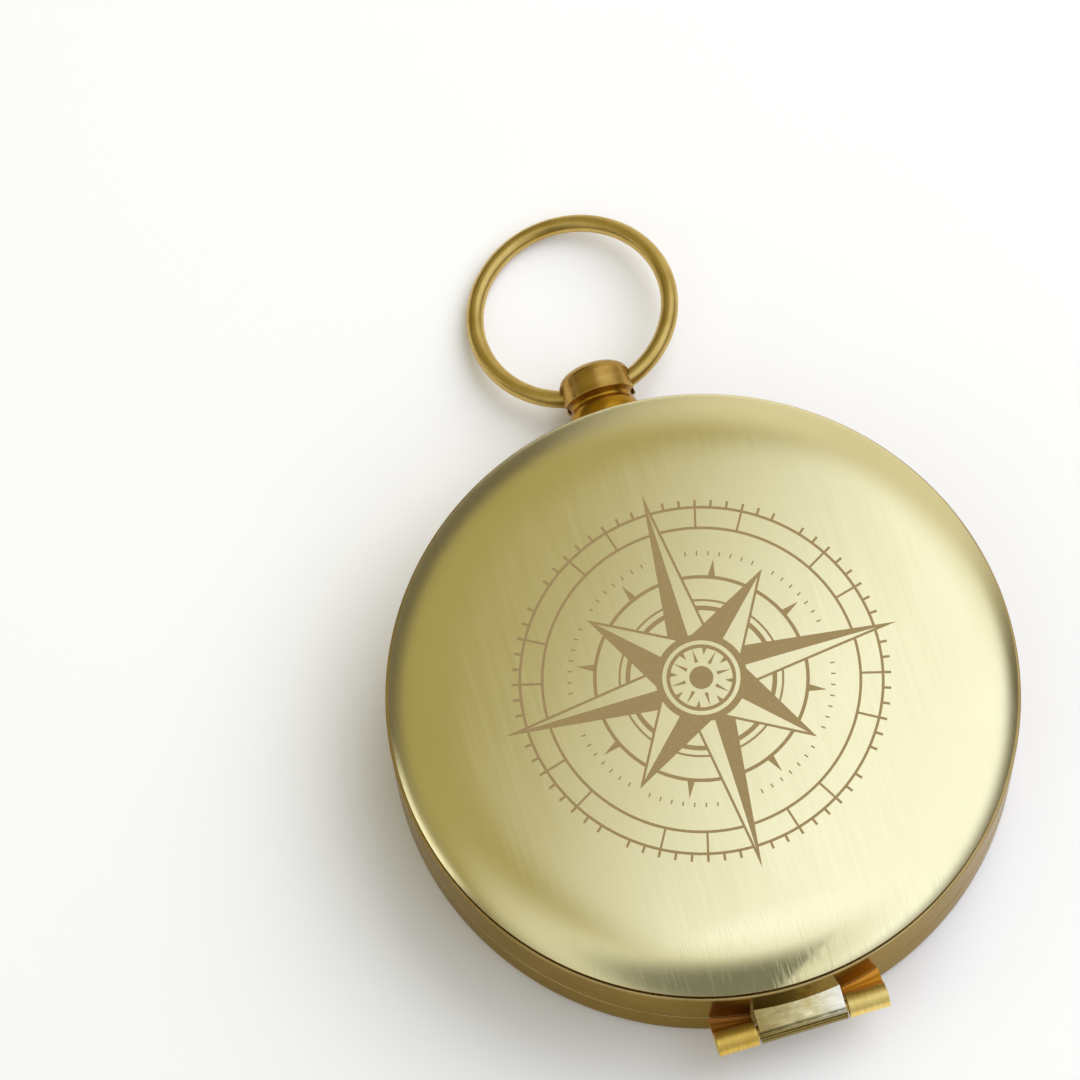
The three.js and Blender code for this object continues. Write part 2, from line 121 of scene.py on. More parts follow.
# A profile of radius and height turned about Z in equal steps
def turnedPart(profile, turns, closed=True):
    angle = np.arange(turns) * 2 * np.pi / turns
    grid = aboutZ(profile[:, 0, None], angle, profile[:, 1, None])
    return gridPart(grid, closeRows=closed, closeColumns=True)


# Many equal flat patches as vertices and faces, laid on a surface whose height is a function of x and y
def patchPart(patches, height):
    count, rows, columns = patches.shape[:3]
    index = np.arange(count * rows * columns).reshape(count, rows, columns)
    quads = np.stack([index[:, :-1, :-1], index[:, :-1, 1:], index[:, 1:, 1:], index[:, 1:, :-1]], -1)
    flat = patches.reshape(-1, 2)
    return np.column_stack([flat, height(flat)]), quads.reshape(-1, 4)


# Straight patches: a point lies s of the way along two edges and t of the way from the first to the second
def strips(startA, endA, startB, endB, along=1, across=1):
    corners = [np.atleast_2d(np.asarray(c, float)) for c in (startA, endA, startB, endB)]
    startA, endA, startB, endB = [c[:, None, None] for c in np.broadcast_arrays(*corners)]
    s = np.linspace(0, 1, along + 1)[None, :, None, None]
    t = np.linspace(0, 1, across + 1)[None, None, :, None]
    return (startA + (endA - startA) * s) * (1 - t) + (startB + (endB - startB) * s) * t


# Curved patches: a point lies at a bearing between start and end, on the inner or the outer radius
def bands(inner, outer, start, end, along):
    values = [np.atleast_1d(np.asarray(v, float)) for v in (inner, outer, start, end)]
    inner, outer, start, end = [v[:, None, None] for v in np.broadcast_arrays(*values)]
    s = np.linspace(0, 1, along + 1)[None, :, None]
    t = np.array([0.0, 1.0])
    return fromNorth(inner + (outer - inner) * t + 0 * s, start + (end - start) * s + 0 * t)


# A whole ring between two radii as one curved patch
def fullRing(radii, along):
    return bands(*radii, 0, 2 * np.pi, along)


# A point at a radius and a bearing clockwise from +Y, seen from above
def fromNorth(radius, bearing):
    radius, bearing = np.broadcast_arrays(radius, bearing)
    return np.stack([radius * np.sin(bearing), radius * np.cos(bearing)], -1)


# A width square to a bearing, on its clockwise side
def sideOf(bearings, width):
    return np.stack([np.cos(bearings), -np.sin(bearings)], -1) * width


# Points of an arc: radius times the cosine and the sine of an angle that runs between two values in degrees
def arcPoints(radius, start, end, steps):
    angle = np.radians(np.linspace(start, end, steps))
    return np.column_stack([radius * np.cos(angle), radius * np.sin(angle)])


meshing = {
    "merge": 5e-7,  # metres within which doubles become one point
    "sharp": 38.0,  # degrees past which an edge stays sharp
    "bevelFrom": 40.0,  # degrees past which a bevel takes an edge
}


# Smooth faces, with an edge left sharp where its two faces turn by more than a limit
def smoothMesh(mesh):
    mesh.polygons.foreach_set("use_smooth", np.ones(len(mesh.polygons), bool))
    mesh.set_sharp_from_angle(angle=math.radians(meshing["sharp"]))


# An object that holds some data, put into the scene
def addObject(name, data):
    made = bpy.data.objects.new(name, data)
    bpy.context.scene.collection.objects.link(made)
    return made


# The mesh that an object shows with its modifiers or its curves worked out
def shownMesh(shown):
    return bpy.data.meshes.new_from_object(shown.evaluated_get(bpy.context.evaluated_depsgraph_get()))


# A mesh as a piece: its finish, the body that it rides on, and the CAD nodes that it stands for
def placePiece(name, mesh, material, body, nodes=()):
    smoothMesh(mesh)
    mesh.materials.append(material)
    piece = addObject(name, mesh)
    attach(piece, body)
    if nodes:
        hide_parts(*nodes)
    return piece


# One mesh of all the parts, doubles merged and faces turned outwards
def makePiece(name, parts, material, body, nodes=(), upward=False):
    starts = np.cumsum([0] + [len(points) for points, faces in parts])
    points = np.concatenate([points for points, faces in parts])
    faces = [face for start, (_, quads) in zip(starts, parts) for face in (quads + start).tolist()]
    mesh = bpy.data.meshes.new(name)
    mesh.from_pydata(points * mm, [], faces)
    shape = bmesh.new()
    shape.from_mesh(mesh)
    bmesh.ops.remove_doubles(shape, verts=shape.verts, dist=meshing["merge"])
    if upward:  # a print has no inside, so its faces look up
        shape.normal_update()
        bmesh.ops.reverse_faces(shape, faces=[face for face in shape.faces if face.normal.z < 0])
    else:
        bmesh.ops.recalc_face_normals(shape, faces=shape.faces)
    shape.to_mesh(mesh)
    shape.free()
    return placePiece(name, mesh, material, body, nodes)


# Ink, paint or an engraved line: flat parts with a skin's thickness below them
def makePrint(name, parts, material, body, thickness):
    piece = makePiece(name, parts, material, body, upward=True)
    piece.data.polygons.foreach_set("use_smooth", np.zeros(len(piece.data.polygons), bool))
    skin = piece.modifiers.new("skin", "SOLIDIFY")
    skin.thickness = thickness * mm
    skin.offset = -1
    return piece


# Sharp edges rounded over a width in millimetres
def addBevel(piece, width, segments=3):
    bevel = piece.modifiers.new("edges", "BEVEL")
    bevel.width = width * mm
    bevel.segments = segments
    bevel.limit_method = "ANGLE"
    bevel.angle_limit = math.radians(meshing["bevelFrom"])
    bevel.harden_normals = True
    return piece


# Materials


# Inputs of a node: each takes a value, or is led from the output of another node
def setInputs(node, inputs):
    for socket, value in inputs.items():
        if isinstance(value, bpy.types.NodeSocket):
            node.id_data.links.new(value, node.inputs[socket])
        else:
            node.inputs[socket].default_value = value


# A new node of a kind, with its settings and inputs
def addNode(tree, kind, inputs, **settings):
    node = tree.nodes.new("ShaderNode" + kind)
    for name, value in settings.items():
        setattr(node, name, value)
    setInputs(node, inputs)
    return node


# The node that shades a material
def shaderOf(material):
    return material.node_tree.nodes["Principled BSDF"]


# A noise on Object coordinates in millimetres, drawn out along an axis where its stretch is below 1
def grain(material, scale, stretch=(1, 1, 1), detail=4.0):
    tree = material.node_tree
    place = addNode(tree, "TexCoord", {})
    turn = addNode(tree, "Mapping", {"Vector": place.outputs["Object"], "Scale": [s / mm for s in stretch]})
    noise = addNode(tree, "TexNoise", {"Vector": turn.outputs["Vector"], "Scale": scale, "Detail": detail})
    return noise.outputs["Fac"]


# A factor spread from low to high, clipped to the noise's middle range
def spread(material, factor, low, high, fromLow=0.3, fromHigh=0.7):
    values = {"Value": factor, "From Min": fromLow, "From Max": fromHigh, "To Min": low, "To Max": high}
    return addNode(material.node_tree, "MapRange", values).outputs["Result"]


# Roughness that follows a factor from low to high
def varyRoughness(material, factor, low, high):
    setInputs(shaderOf(material), {"Roughness": spread(material, factor, low, high)})


# First colour changed to the second by a share; either is a colour or the output of a node
def mixColours(tree, share, first, second):
    first, second = ((*side, 1) if isinstance(side, tuple) else side for side in (first, second))
    mix = addNode(tree, "Mix", {"Factor": share, "A": first, "B": second}, data_type="RGBA")
    return mix.outputs["Result"]


# Two colours mixed by a factor, as patina, worn paint or speckled ink
def varyColour(material, factor, first, second, fromLow=0.3, fromHigh=0.7):
    share = spread(material, factor, 0, 1, fromLow, fromHigh)
    setInputs(shaderOf(material), {"Base Color": mixColours(material.node_tree, share, first, second)})


# Relief of a height in millimetres that follows a factor
def addRelief(material, factor, height):
    bump = addNode(material.node_tree, "Bump", {"Height": factor, "Distance": height * mm, "Strength": 1})
    setInputs(shaderOf(material), {"Normal": bump.outputs["Normal"]})


# How far a point lies between two places along an axis, in millimetres, from none to one
def shareAlong(material, axis, start, end):
    tree = material.node_tree
    place = addNode(tree, "TexCoord", {})
    axes = addNode(tree, "SeparateXYZ", {"Vector": place.outputs["Object"]})
    return spread(material, axes.outputs[axis], 0, 1, start * mm, end * mm)


# Base colour changed to another one by a share
def shade(material, share, colour):
    before = shaderOf(material).inputs["Base Color"].links[0].from_socket
    setInputs(shaderOf(material), {"Base Color": mixColours(material.node_tree, share, before, colour)})


# Two factors multiplied
def product(tree, first, second):
    return addNode(tree, "Math", {0: first, 1: second}, operation="MULTIPLY").outputs[0]


# A finish whose colour, roughness and height each follow a grain of their own: first come the grain's
# scale, stretch and detail, and then the values that it runs between
def makeFinish(name, colour, roughness, metallic=0.0, tint=None, wear=None, relief=None):
    made = bpy.data.materials.new(name)
    made.use_nodes = True
    setInputs(shaderOf(made), {"Base Color": (*colour, 1), "Roughness": roughness, "Metallic": metallic})
    for vary, settings in ((varyColour, tint), (varyRoughness, wear), (addRelief, relief)):
        if settings:
            vary(made, grain(made, *settings[0]), *settings[1:])
    return made


even = (1, 1, 1)  # stretch of a grain that is alike along all axes
lidBrass = makeFinish(
    "polished brass of the lid", (0.85, 0.77, 0.45), 0.18, 1,
    tint=((0.08, even, 2), (0.83, 0.75, 0.43), (0.87, 0.79, 0.47)),
    relief=((7.0, (1, 0.02, 1), 2), 0.0004),
)
lidWear = {
    "brushed": (0.16, 0.21),  # roughness, drawn from hinge to bow
    "scratched": (0.06, 0.24),  # roughness of the mirror and of the fine scratches at the hinge
    "scratchRange": (0.45, 0.68),  # part of the grain over which the scratches deepen
    "front": (-18.6, -20.2),  # where along Y the one changes to the other
}
brushing = grain(lidBrass, 3.0, (1, 0.03, 1))
scratching = grain(lidBrass, 8.0, (1, 0.05, 0.05), 2)
lidRough = addNode(lidBrass.node_tree, "Mix", {
    "Factor": shareAlong(lidBrass, "Y", *lidWear["front"]),
    "A": spread(lidBrass, brushing, *lidWear["brushed"]),
    "B": spread(lidBrass, scratching, *lidWear["scratched"], *lidWear["scratchRange"]),
})
setInputs(shaderOf(lidBrass), {"Roughness": lidRough.outputs["Result"]})

# Painted shade: the walls of the lid and the case are the lid's brass, with their colour darkened and browned
# to stand in for the shadowed floor that they mirror
wallBrassPaintedShade = makeFinish(
    "polished brass of the walls darkened by painted shade", (0.40, 0.285, 0.11), 0.2, 1,
    tint=((0.25,), (0.36, 0.25, 0.09), (0.44, 0.32, 0.13)),
    wear=((3.0, (0.15, 0.15, 2.5)), 0.16, 0.26),
    relief=((5.0, (0.05, 0.05, 2.5), 2), 0.0008),
)
wallGrazingShade = (0.65, 0.55, 0.36, 1)  # painted shade: tints the wall's reflection dark brown at a low angle
setInputs(shaderOf(wallBrassPaintedShade), {"Specular Tint": wallGrazingShade})

bowBrass = makeFinish(
    "satin brass of the bow", (0.60, 0.42, 0.12), 0.3, 1,
    tint=((0.5,), (0.54, 0.37, 0.10), (0.66, 0.48, 0.15)),
    wear=((2.5,), 0.3, 0.38),
    relief=((3.0,), 0.0006),
)

webAt = (-25.6, -25.3)  # where along Y the hinge's barrels pass into their webs
# share of metal that is left in the web's painted shade
webShadeMetal = 0.4


# Satin brass of a hinge barrel between two colours, drawn lengthwise, with painted shade on the web behind
# the barrel, where the colour turns darker and more orange and the metal duller
def barrelBrass(name, low, high, web):
    made = makeFinish(
        name, high, 0.48, 1,
        tint=((2.0, (3.0, 0.4, 0.4)), low, high),
        wear=((4.0, (3.0, 0.3, 0.3)), 0.42, 0.56),
        relief=((3.0, (3.0, 0.15, 0.15), 3), 0.012),
    )
    webShadeShare = shareAlong(made, "Y", *webAt)
    shade(made, webShadeShare, web)
    setInputs(shaderOf(made), {"Metallic": spread(made, webShadeShare, 1, webShadeMetal, 0, 1)})
    return made


# Lit and shaded copies of one brass: painted shade darkens the left barrel and its web, and painted light
# brightens the right barrel and its web
shadedLeftBrass = barrelBrass(
    "satin brass of the left barrel", (0.78, 0.52, 0.10), (0.90, 0.64, 0.16), (0.42, 0.16, 0.012),
)
litRightBrass = barrelBrass(
    "satin brass of the right barrel", (0.96, 0.70, 0.20), (1.0, 0.82, 0.32), (0.86, 0.38, 0.025),
)

stemBrass = makeFinish(
    "turned brass of the stem", (0.48, 0.29, 0.065), 0.28, 1,
    tint=((0.8, (0.4, 2.0, 0.4)), (0.42, 0.24, 0.05), (0.54, 0.34, 0.085)),
    wear=((4.0, (0.2, 3.0, 0.2)), 0.2, 0.36),
    relief=((4.0, (0.1, 3.0, 0.1), 2), 0.002),
)
shade(stemBrass, shareAlong(stemBrass, "Y", 28.2, 27.9), (0.42, 0.21, 0.015))  # painted shade: the cone is darker and more orange next to the wall

# Painted reflection: the plate's mottled colour and its darker left and paler right stand in for the room
# that it mirrors; only its roughness is wear
plateBrassPaintedReflection = makeFinish(
    "worn brass of the hinge plate with painted reflections", (0.80, 0.70, 0.38), 0.16, 1,
    tint=((1.1, (0.7, 1, 1), 6), (0.55, 0.43, 0.16), (0.88, 0.80, 0.50)),
    wear=((2.2, even, 6), 0.05, 0.16),
    relief=((0.7, (0.6, 1, 1), 3), 0.05),
)
for axis, start, end, colour in (
    ("X", 0.9, -3.2, (0.34, 0.26, 0.09)),  # painted reflection: darker on its left
    ("X", 0.9, 3.3, (0.84, 0.81, 0.66)),  # painted reflection: paler on its right
    ("Y", -26.75, -26.95, (0.25, 0.18, 0.05)),  # painted shade where it turns down over the barrel
):
    shade(plateBrassPaintedReflection, shareAlong(plateBrassPaintedReflection, axis, start, end), colour)

engravedBrass = makeFinish(
    "engraved lines", (0.37, 0.26, 0.11), 0.55, 0.25,
    tint=((6.0,), (0.34, 0.235, 0.095), (0.39, 0.275, 0.12)),
)

# Lid


# Height of the lid's dome at a radius: a shoulder that falls by a power, plus a low parabola for the crown
def domeHeight(radius):
    width = lidCover["radius"] - lidCover["shoulderStart"]
    share = np.clip((radius - lidCover["shoulderStart"]) / width, 0, 1)
    shoulder = 1 - share ** lidCover["fullness"]
    crown = 1 - (radius / lidCover["radius"]) ** 2
    return lidCover["shoulderFoot"] + lidCover["shoulderRise"] * shoulder + lidCover["crownRise"] * crown


# Height of its underside, which follows the same two curves inside the seat
def ceilingHeight(radius):
    width = lidCover["seat"] - lidCover["ceilingStart"]
    share = np.clip((radius - lidCover["ceilingStart"]) / width, 0, 1)
    shoulder = lidCover["ceilingRise"] * np.sqrt(1 - share ** 2)
    return lidCover["foot"] + shoulder + lidCover["ceilingCrown"] * (1 - (radius / lidCover["seat"]) ** 2)


coverLow, coverHigh = span("lid_cover")
lidCover = {
    "radius": coverHigh[0] - 0.15,  # its edge is eased off
    "foot": coverLow[2],
    "lip": 0.15,  # straight edge under the shoulder
    "shoulderStart": 17.0,
    "shoulderRise": 1.3,
    "fullness": 4.0,
    "crownRise": 0.8,
    "seat": 22.8,
    "ceilingStart": 19.0,
    "ceilingRise": 1.1,
    "ceilingCrown": 0.37,
    "steps": 130,
    "turns": 288,
    "spacing": 0.3,
}
lidCover["shoulderFoot"] = lidCover["foot"] + lidCover["lip"]
sweep = np.linspace(0, np.pi / 2, lidCover["steps"])
domeRadii = lidCover["radius"] * np.sin(sweep)
ceilingRadii = lidCover["seat"] * np.sin(sweep[::-2])
coverProfile = np.vstack([
    np.column_stack([domeRadii, domeHeight(domeRadii)]),
    [[lidCover["radius"], lidCover["foot"]]],
    np.column_stack([ceilingRadii, ceilingHeight(ceilingRadii)]),
    [[0, ceilingHeight(np.zeros(1))[0]]],
])
coverProfile = refine(coverProfile, lidCover["spacing"], False)
coverPart = turnedPart(coverProfile, lidCover["turns"], closed=False)
makePiece("lidCover", [coverPart], lidBrass, "lid", ["lid_cover"])

ringLow, ringHigh = span("lid_ring")
lidRing = {
    "radius": ringHigh[0],
    "foot": ringLow[2],
    "top": ringHigh[2],
    "wall": 0.7,
    "seat": 2.2,
    "seatDepth": 0.65,
    "rabbet": 0.45,
    "rabbetDepth": 0.35,
    "eases": [0.1, 0.14, 0.08, 0.03, 0.03, 0.08, 0.1, 0.25],  # how far each corner of the profile is rounded
    "spacing": 0.25,
}
lidInner = lidRing["radius"] - lidRing["wall"]
seatInner = lidRing["radius"] - lidRing["seat"]
lidCorners = stepCorners(
    lidInner, lidRing["foot"],
    lidRing["radius"], lidRing["top"] - lidRing["rabbetDepth"],
    lidRing["radius"] - lidRing["rabbet"], lidRing["top"],
    seatInner, lidRing["top"] - lidRing["seatDepth"],
    lidInner,
)
lidProfile = roundCorners(lidCorners, lidRing["eases"])
lidPart = turnedPart(refine(lidProfile, lidRing["spacing"]), lidCover["turns"])
makePiece("lidRing", [lidPart], wallBrassPaintedShade, "lid", ["lid_ring"])
print("lid made")

# Rose on the lid: an eight-point star over graduated rings, north towards the bow
rose = {
    "centre": (0.0, 0.32),
    "longTip": 16.0,
    "shortTip": 10.2,
    "foot": 3.6,  # radius of the boss on which the points stand
    "longSplay": (27.4, 27.4),  # degrees from a point's axis to the feet of its dark and light edges
    "shortSplay": (40.0, 34.0),
    "outline": 0.2,
    "rings": [(5.56, 5.93), (6.31, 6.48), (8.2, 8.48), (12.35, 12.57), (14.1, 14.32)],
    "bosses": [(0.0, 0.94), (2.44, 2.73), (3.06, 3.6)],
    "wedges": [(2.44, 1.86, 0.18, 0.5), (1.29, 2.44, 0.145, 0.0)],  # foot, tip, half width, turn in points
    "spike": (8.475, 9.85, 0.28),  # foot, tip and half width of the small spikes between the points
    "shortTicks": (10.15, 10.5, 0.055),  # inner and outer radius and half width
    "outerTicks": (14.32, 14.85, 0.1),
    "tickTurn": 5,  # degrees between ticks
    "dividers": (12.57, 14.1, 0.09),
    "dividerTurns": [15, 30, 60, 75],  # degrees into each quarter
    "margin": 0.02,
    "steps": (40, 30, 32, 120),  # along the long points, the short points, a ring's pieces and a boss
    "lift": 0.012,
    "thickness": 0.03,
}
pointTurn = np.pi / 4
starPoints = np.arange(8)
longSteps, shortSteps, ringSteps, ringTurns = rose["steps"]
tipRadii = np.where(starPoints % 2 == 0, rose["longTip"], rose["shortTip"])[:, None]
splays = np.radians(np.where(starPoints[:, None] % 2 == 0, rose["longSplay"], rose["shortSplay"]))


# Half of the angle that each point of the star covers at a radius: where its edge crosses that circle
def pointReach(side, radius):
    across = rose["foot"] * np.sin(splays[:, side, None])
    along = rose["foot"] * np.cos(splays[:, side, None]) - tipRadii
    a, b, c = across ** 2 + along ** 2, 2 * tipRadii * along, tipRadii ** 2 - radius ** 2
    share = (-b - np.sqrt(np.maximum(b ** 2 - 4 * a * c, 0))) / (2 * a)
    return np.where(radius < tipRadii, np.arctan2(share * across, tipRadii + share * along), 0)


# Bearings where a circle runs free of the star: from the light edge of one point to the dark edge of the next
def freeBearings(radius, margin=0.0):
    darkReach, lightReach = pointReach(0, radius), pointReach(1, radius)
    start = starPoints[:, None] * pointTurn + lightReach + margin * (lightReach > 0)
    end = (starPoints[:, None] + 1) * pointTurn - np.roll(darkReach + margin * (darkReach > 0), -1, 0)
    return start, end


# The free parts of a ring: at either radius its bearing runs from the start to the end that are free there
def ringPieces(inner, outer):
    radius = np.array([inner, outer])
    start, end = freeBearings(radius)
    share = np.linspace(0, 1, ringSteps + 1)[:, None]
    return fromNorth(radius, start[:, None] + (end - start)[:, None] * share)


# Fans: a point lies s of the way from an arc about the middle to a tip
def fans(radius, start, end, tips, along, across):
    turn = start[:, None] + (end - start)[:, None] * np.linspace(0, 1, across + 1)
    s = np.linspace(0, 1, along + 1)[:, None, None]
    return fromNorth(radius, turn)[:, None] * (1 - s) + tips[:, None, None] * s


# The point where the line from a to b meets the line from c to d, by the ratio of two cross products
def crossing(a, b, c, d):
    (ux, uy), (vx, vy), (wx, wy) = (b - a).T, (d - c).T, (c - a).T
    return a + (b - a) * ((wx * vy - wy * vx) / (ux * vy - uy * vx))[:, None]


# Where the inner side of an outline leaves a point's axis: its width over the sine of the angle at the tip
def outlineStart(tips, feet):
    edge = feet - tips
    reach, length = np.linalg.norm(tips, axis=1), np.linalg.norm(edge, axis=1)
    sine = np.abs(edge[:, 0] * tips[:, 1] - edge[:, 1] * tips[:, 0]) / (reach * length)
    return tips * (1 - rose["outline"] / sine / reach)[:, None]


# Wedges from a foot of some half width to a tip, at many bearings
def wedges(foot, tip, half, bearings):
    feet, ends = fromNorth(foot, bearings), fromNorth(tip, bearings)
    side = sideOf(bearings, half)
    return strips(feet - side, ends, feet + side, ends, 6)


# Radial ticks of one length at many bearings
def ticks(inner, outer, half, bearings):
    bearings = np.atleast_1d(bearings)
    foot, tip = fromNorth(inner, bearings), fromNorth(outer, bearings)
    side = sideOf(bearings, half)
    return strips(foot - side, tip - side, foot + side, tip + side, along=2)


# Those of the ticks' bearings that lie clear of the star at a radius
def clearOfStar(radius):
    start, end = freeBearings(np.array([radius]), rose["margin"])
    turn = np.radians(np.arange(0, 360, rose["tickTurn"]))
    return turn[((turn > start) & (turn < end)).any(0)]


# Height of the dome under flat points, plus the lift of the print
def onDome(flat):
    return domeHeight(np.linalg.norm(flat, axis=-1)) + rose["lift"]


longBearings = starPoints[::2] * pointTurn
shortBearings = starPoints[1::2] * pointTurn
longTips, shortTips = fromNorth(rose["longTip"], longBearings), fromNorth(rose["shortTip"], shortBearings)
longDark = fromNorth(rose["foot"], longBearings - splays[0, 0])
longLight = fromNorth(rose["foot"], longBearings + splays[0, 1])
shortDark = fromNorth(rose["foot"], shortBearings - splays[1, 0])
shortLight = fromNorth(rose["foot"], shortBearings + splays[1, 1])
lastTips, lastLight = np.roll(shortTips, 1, 0), np.roll(shortLight, 1, 0)
darkNotches = crossing(longTips, longDark, lastTips, lastLight)
lightNotches = crossing(longTips, longLight, shortTips, shortDark)
longStarts, shortStarts = outlineStart(longTips, longLight), outlineStart(shortTips, shortLight)
longEnds = crossing(longStarts, longStarts + longLight - longTips, shortTips, shortDark)
heading = (shortLight - shortTips) / np.linalg.norm(shortLight - shortTips, axis=1, keepdims=True)
nearest = (shortStarts * heading).sum(1, keepdims=True)
stretch = nearest ** 2 - (shortStarts ** 2).sum(1, keepdims=True) + rose["foot"] ** 2
shortEnds = shortStarts - heading * (nearest + np.sqrt(stretch))  # on the boss
roseShapes = [
    fans(rose["foot"], shortBearings - splays[1, 0], shortBearings, shortTips, shortSteps, 8),
    fans(rose["foot"], longBearings - pointTurn + splays[1, 1], longBearings, longTips, longSteps, 4),
    strips(lastLight, longTips, darkNotches, longTips, longSteps, 4),
    strips(longTips, lightNotches, longStarts, longEnds, longSteps),
    strips(shortTips, shortLight, shortStarts, shortEnds, shortSteps),
    wedges(*rose["spike"], (starPoints + 0.5) * pointTurn),
]
for tick in (rose["shortTicks"], rose["outerTicks"]):
    roseShapes.append(ticks(*tick, clearOfStar(tick[0])))
for inner, outer in rose["rings"]:
    roseShapes.append(ringPieces(inner, outer))
for radii in rose["bosses"]:
    roseShapes.append(fullRing(radii, ringTurns))
for foot, tip, half, turn in rose["wedges"]:
    roseShapes.append(wedges(foot, tip, half, (starPoints + turn) * pointTurn))
dividerBearings = np.radians(np.add.outer(np.arange(0, 360, 90), rose["dividerTurns"]).ravel())
roseShapes.append(ticks(*rose["dividers"], dividerBearings))
roseParts = [patchPart(shape + rose["centre"], onDome) for shape in roseShapes]
makePrint("lidRose", roseParts, engravedBrass, "lid", rose["thickness"])
print("rose made")

# Case
caseHigh = span("case_cup")[1]
case = {
    "radius": caseHigh[0],
    "top": caseHigh[2],
    "wall": 1.0,
    "floor": 0.8,
    "eases": [0, 1.4, 0.14, 0.14, 0.6, 0],
    "cornerSteps": 14,
    "spacing": 0.3,
}
caseInner = case["radius"] - case["wall"]
caseCorners = stepCorners(0, 0, case["radius"], case["top"], caseInner, case["floor"], 0)
caseProfile = roundCorners(caseCorners, case["eases"], closed=False, steps=case["cornerSteps"])
caseProfile = refine(caseProfile, case["spacing"], False)
casePart = turnedPart(caseProfile, lidCover["turns"], closed=False)
makePiece("caseCup", [casePart], wallBrassPaintedShade, "case", ["case_cup"])
print("case made")

# Hinge: sections with x from the barrel towards the case and y up, carried along the pin
hingeAt = np.array(jointNamed("lid_hinge")["pos_m"]) / mm
hinge = {
    "barrel": 0.994,
    "bore": 0.65,
    "half": span("hinge_pin")[1][0],
    "centre": 7.05,
    "gap": 0.2,
    "pinProud": 0.06,  # the pin's ends stand this far out of the outer knuckles
    "leafDrop": 0.2,
    "leafRise": 0.35,
    "leafThickness": 0.6,
    "sink": 0.02,  # the leaves go this far into the wall that they are soldered to
    "bevel": 0.07,
    "rise": 30.0,  # degrees up the barrel to where a web meets it
    "webLine": 0.025,
    "webLines": 3,  # fine lines along a web
    "wrap": (100.0, 385.0),  # degrees of the centre barrel that the plate covers
    "folds": ((128.0, 1.0), (150.0, 0.7)),  # degrees and strength of the fine lines where it folds
    "foldWidth": 3.0,
    "foldDepth": 0.06,
    "slices": 15,
    "boreSteps": 40,
    "webSteps": 40,
    "barrelSteps": 44,
    "wrapSteps": 96,
}


# How far a leaf reaches at a place along the pin: from the barrel's axis to the round wall behind it
def wallReach(along):
    return hinge["sink"] - hingeAt[1] - np.sqrt(case["radius"] ** 2 - along ** 2)


# A quadratic curve through two ends, pulled towards a third point
def bend(start, pull, end, steps):
    t = np.linspace(0, 1, steps)[:, None]
    return (1 - t) ** 2 * np.array(start) + 2 * t * (1 - t) * np.array(pull) + t ** 2 * np.array(end)


# A section carried along X: y and z are measured from the pin's axis
def alongPin(along, y, z):
    return np.stack(np.broadcast_arrays(along[:, None], hingeAt[1] + y, hingeAt[2] + z), -1)


# A leaf's outline and its barrel carried along X; past the barrel the outline is stretched to meet the wall.
# The ends are a ring round the bore and the outline of the leaf beyond the barrel.
def makeKnuckle(name, leaf, barrelArc, start, end, material, body, node):
    outline = np.vstack([leaf, barrelArc])
    along = np.linspace(start, end, hinge["slices"])
    reach = (wallReach(along) - hinge["barrel"]) / (leaf[:, 0].max() - hinge["barrel"])
    beyond = np.maximum(outline[:, 0] - hinge["barrel"], 0)
    grid = alongPin(along, outline[:, 0] + beyond * (reach[:, None] - 1), outline[:, 1])
    circle = arcPoints(hinge["bore"], 0, 360, hinge["boreSteps"] + 1)[:-1]
    bore = alongPin(along, circle[:, 0], circle[:, 1])
    parts = [gridPart(grid, closeColumns=True), gridPart(bore, closeColumns=True)]
    mesh = bpy.data.meshes.new(name)
    shape = bmesh.new()
    for points, faces in parts:
        made = [shape.verts.new(point) for point in points * mm]
        for face in faces.tolist():
            shape.faces.new([made[i] for i in face])
    for row in (0, -1):  # close each end between the outline and the bore
        ends = [edge for edge in shape.edges if edge.is_boundary
                and all(abs(v.co.x - along[row] * mm) < 1e-7 for v in edge.verts)]
        bmesh.ops.triangle_fill(shape, use_beauty=True, use_dissolve=True, edges=ends)
    bmesh.ops.recalc_face_normals(shape, faces=shape.faces)
    shape.to_mesh(mesh)
    shape.free()
    piece = placePiece(name, mesh, material, body, [node])
    return addBevel(piece, hinge["bevel"])


outerFrom = hinge["centre"] / 2 + hinge["gap"]
outerTo = hinge["half"] - hinge["pinProud"]
leafReach = wallReach(outerTo)
webTop = arcPoints(hinge["barrel"], hinge["rise"], hinge["rise"], 1)[0]
webFoot, webPull = (leafReach, -hinge["leafDrop"]), (hinge["barrel"], -2 * hinge["leafDrop"])
webCurve = bend(webFoot, webPull, webTop, hinge["webSteps"])
webWave = np.linspace(0, 2 * np.pi * hinge["webLines"], hinge["webSteps"])
webCurve[:, 1] += hinge["webLine"] * (np.cos(webWave) - 1)
caseLeaf = np.vstack([
    [(0, -hinge["barrel"]), (leafReach, -hinge["barrel"])],
    webCurve[:-1],
])
caseBarrel = arcPoints(hinge["barrel"], hinge["rise"], 270, hinge["barrelSteps"])[:-1]
for name, start, end, brass, node in (
    ("hingeBarrelLeft", -outerTo, -outerFrom, shadedLeftBrass, "hinge_knuckle_left"),
    ("hingeBarrelRight", outerFrom, outerTo, litRightBrass, "hinge_knuckle_right"),
):
    makeKnuckle(name, caseLeaf, caseBarrel, start, end, brass, "case", node)

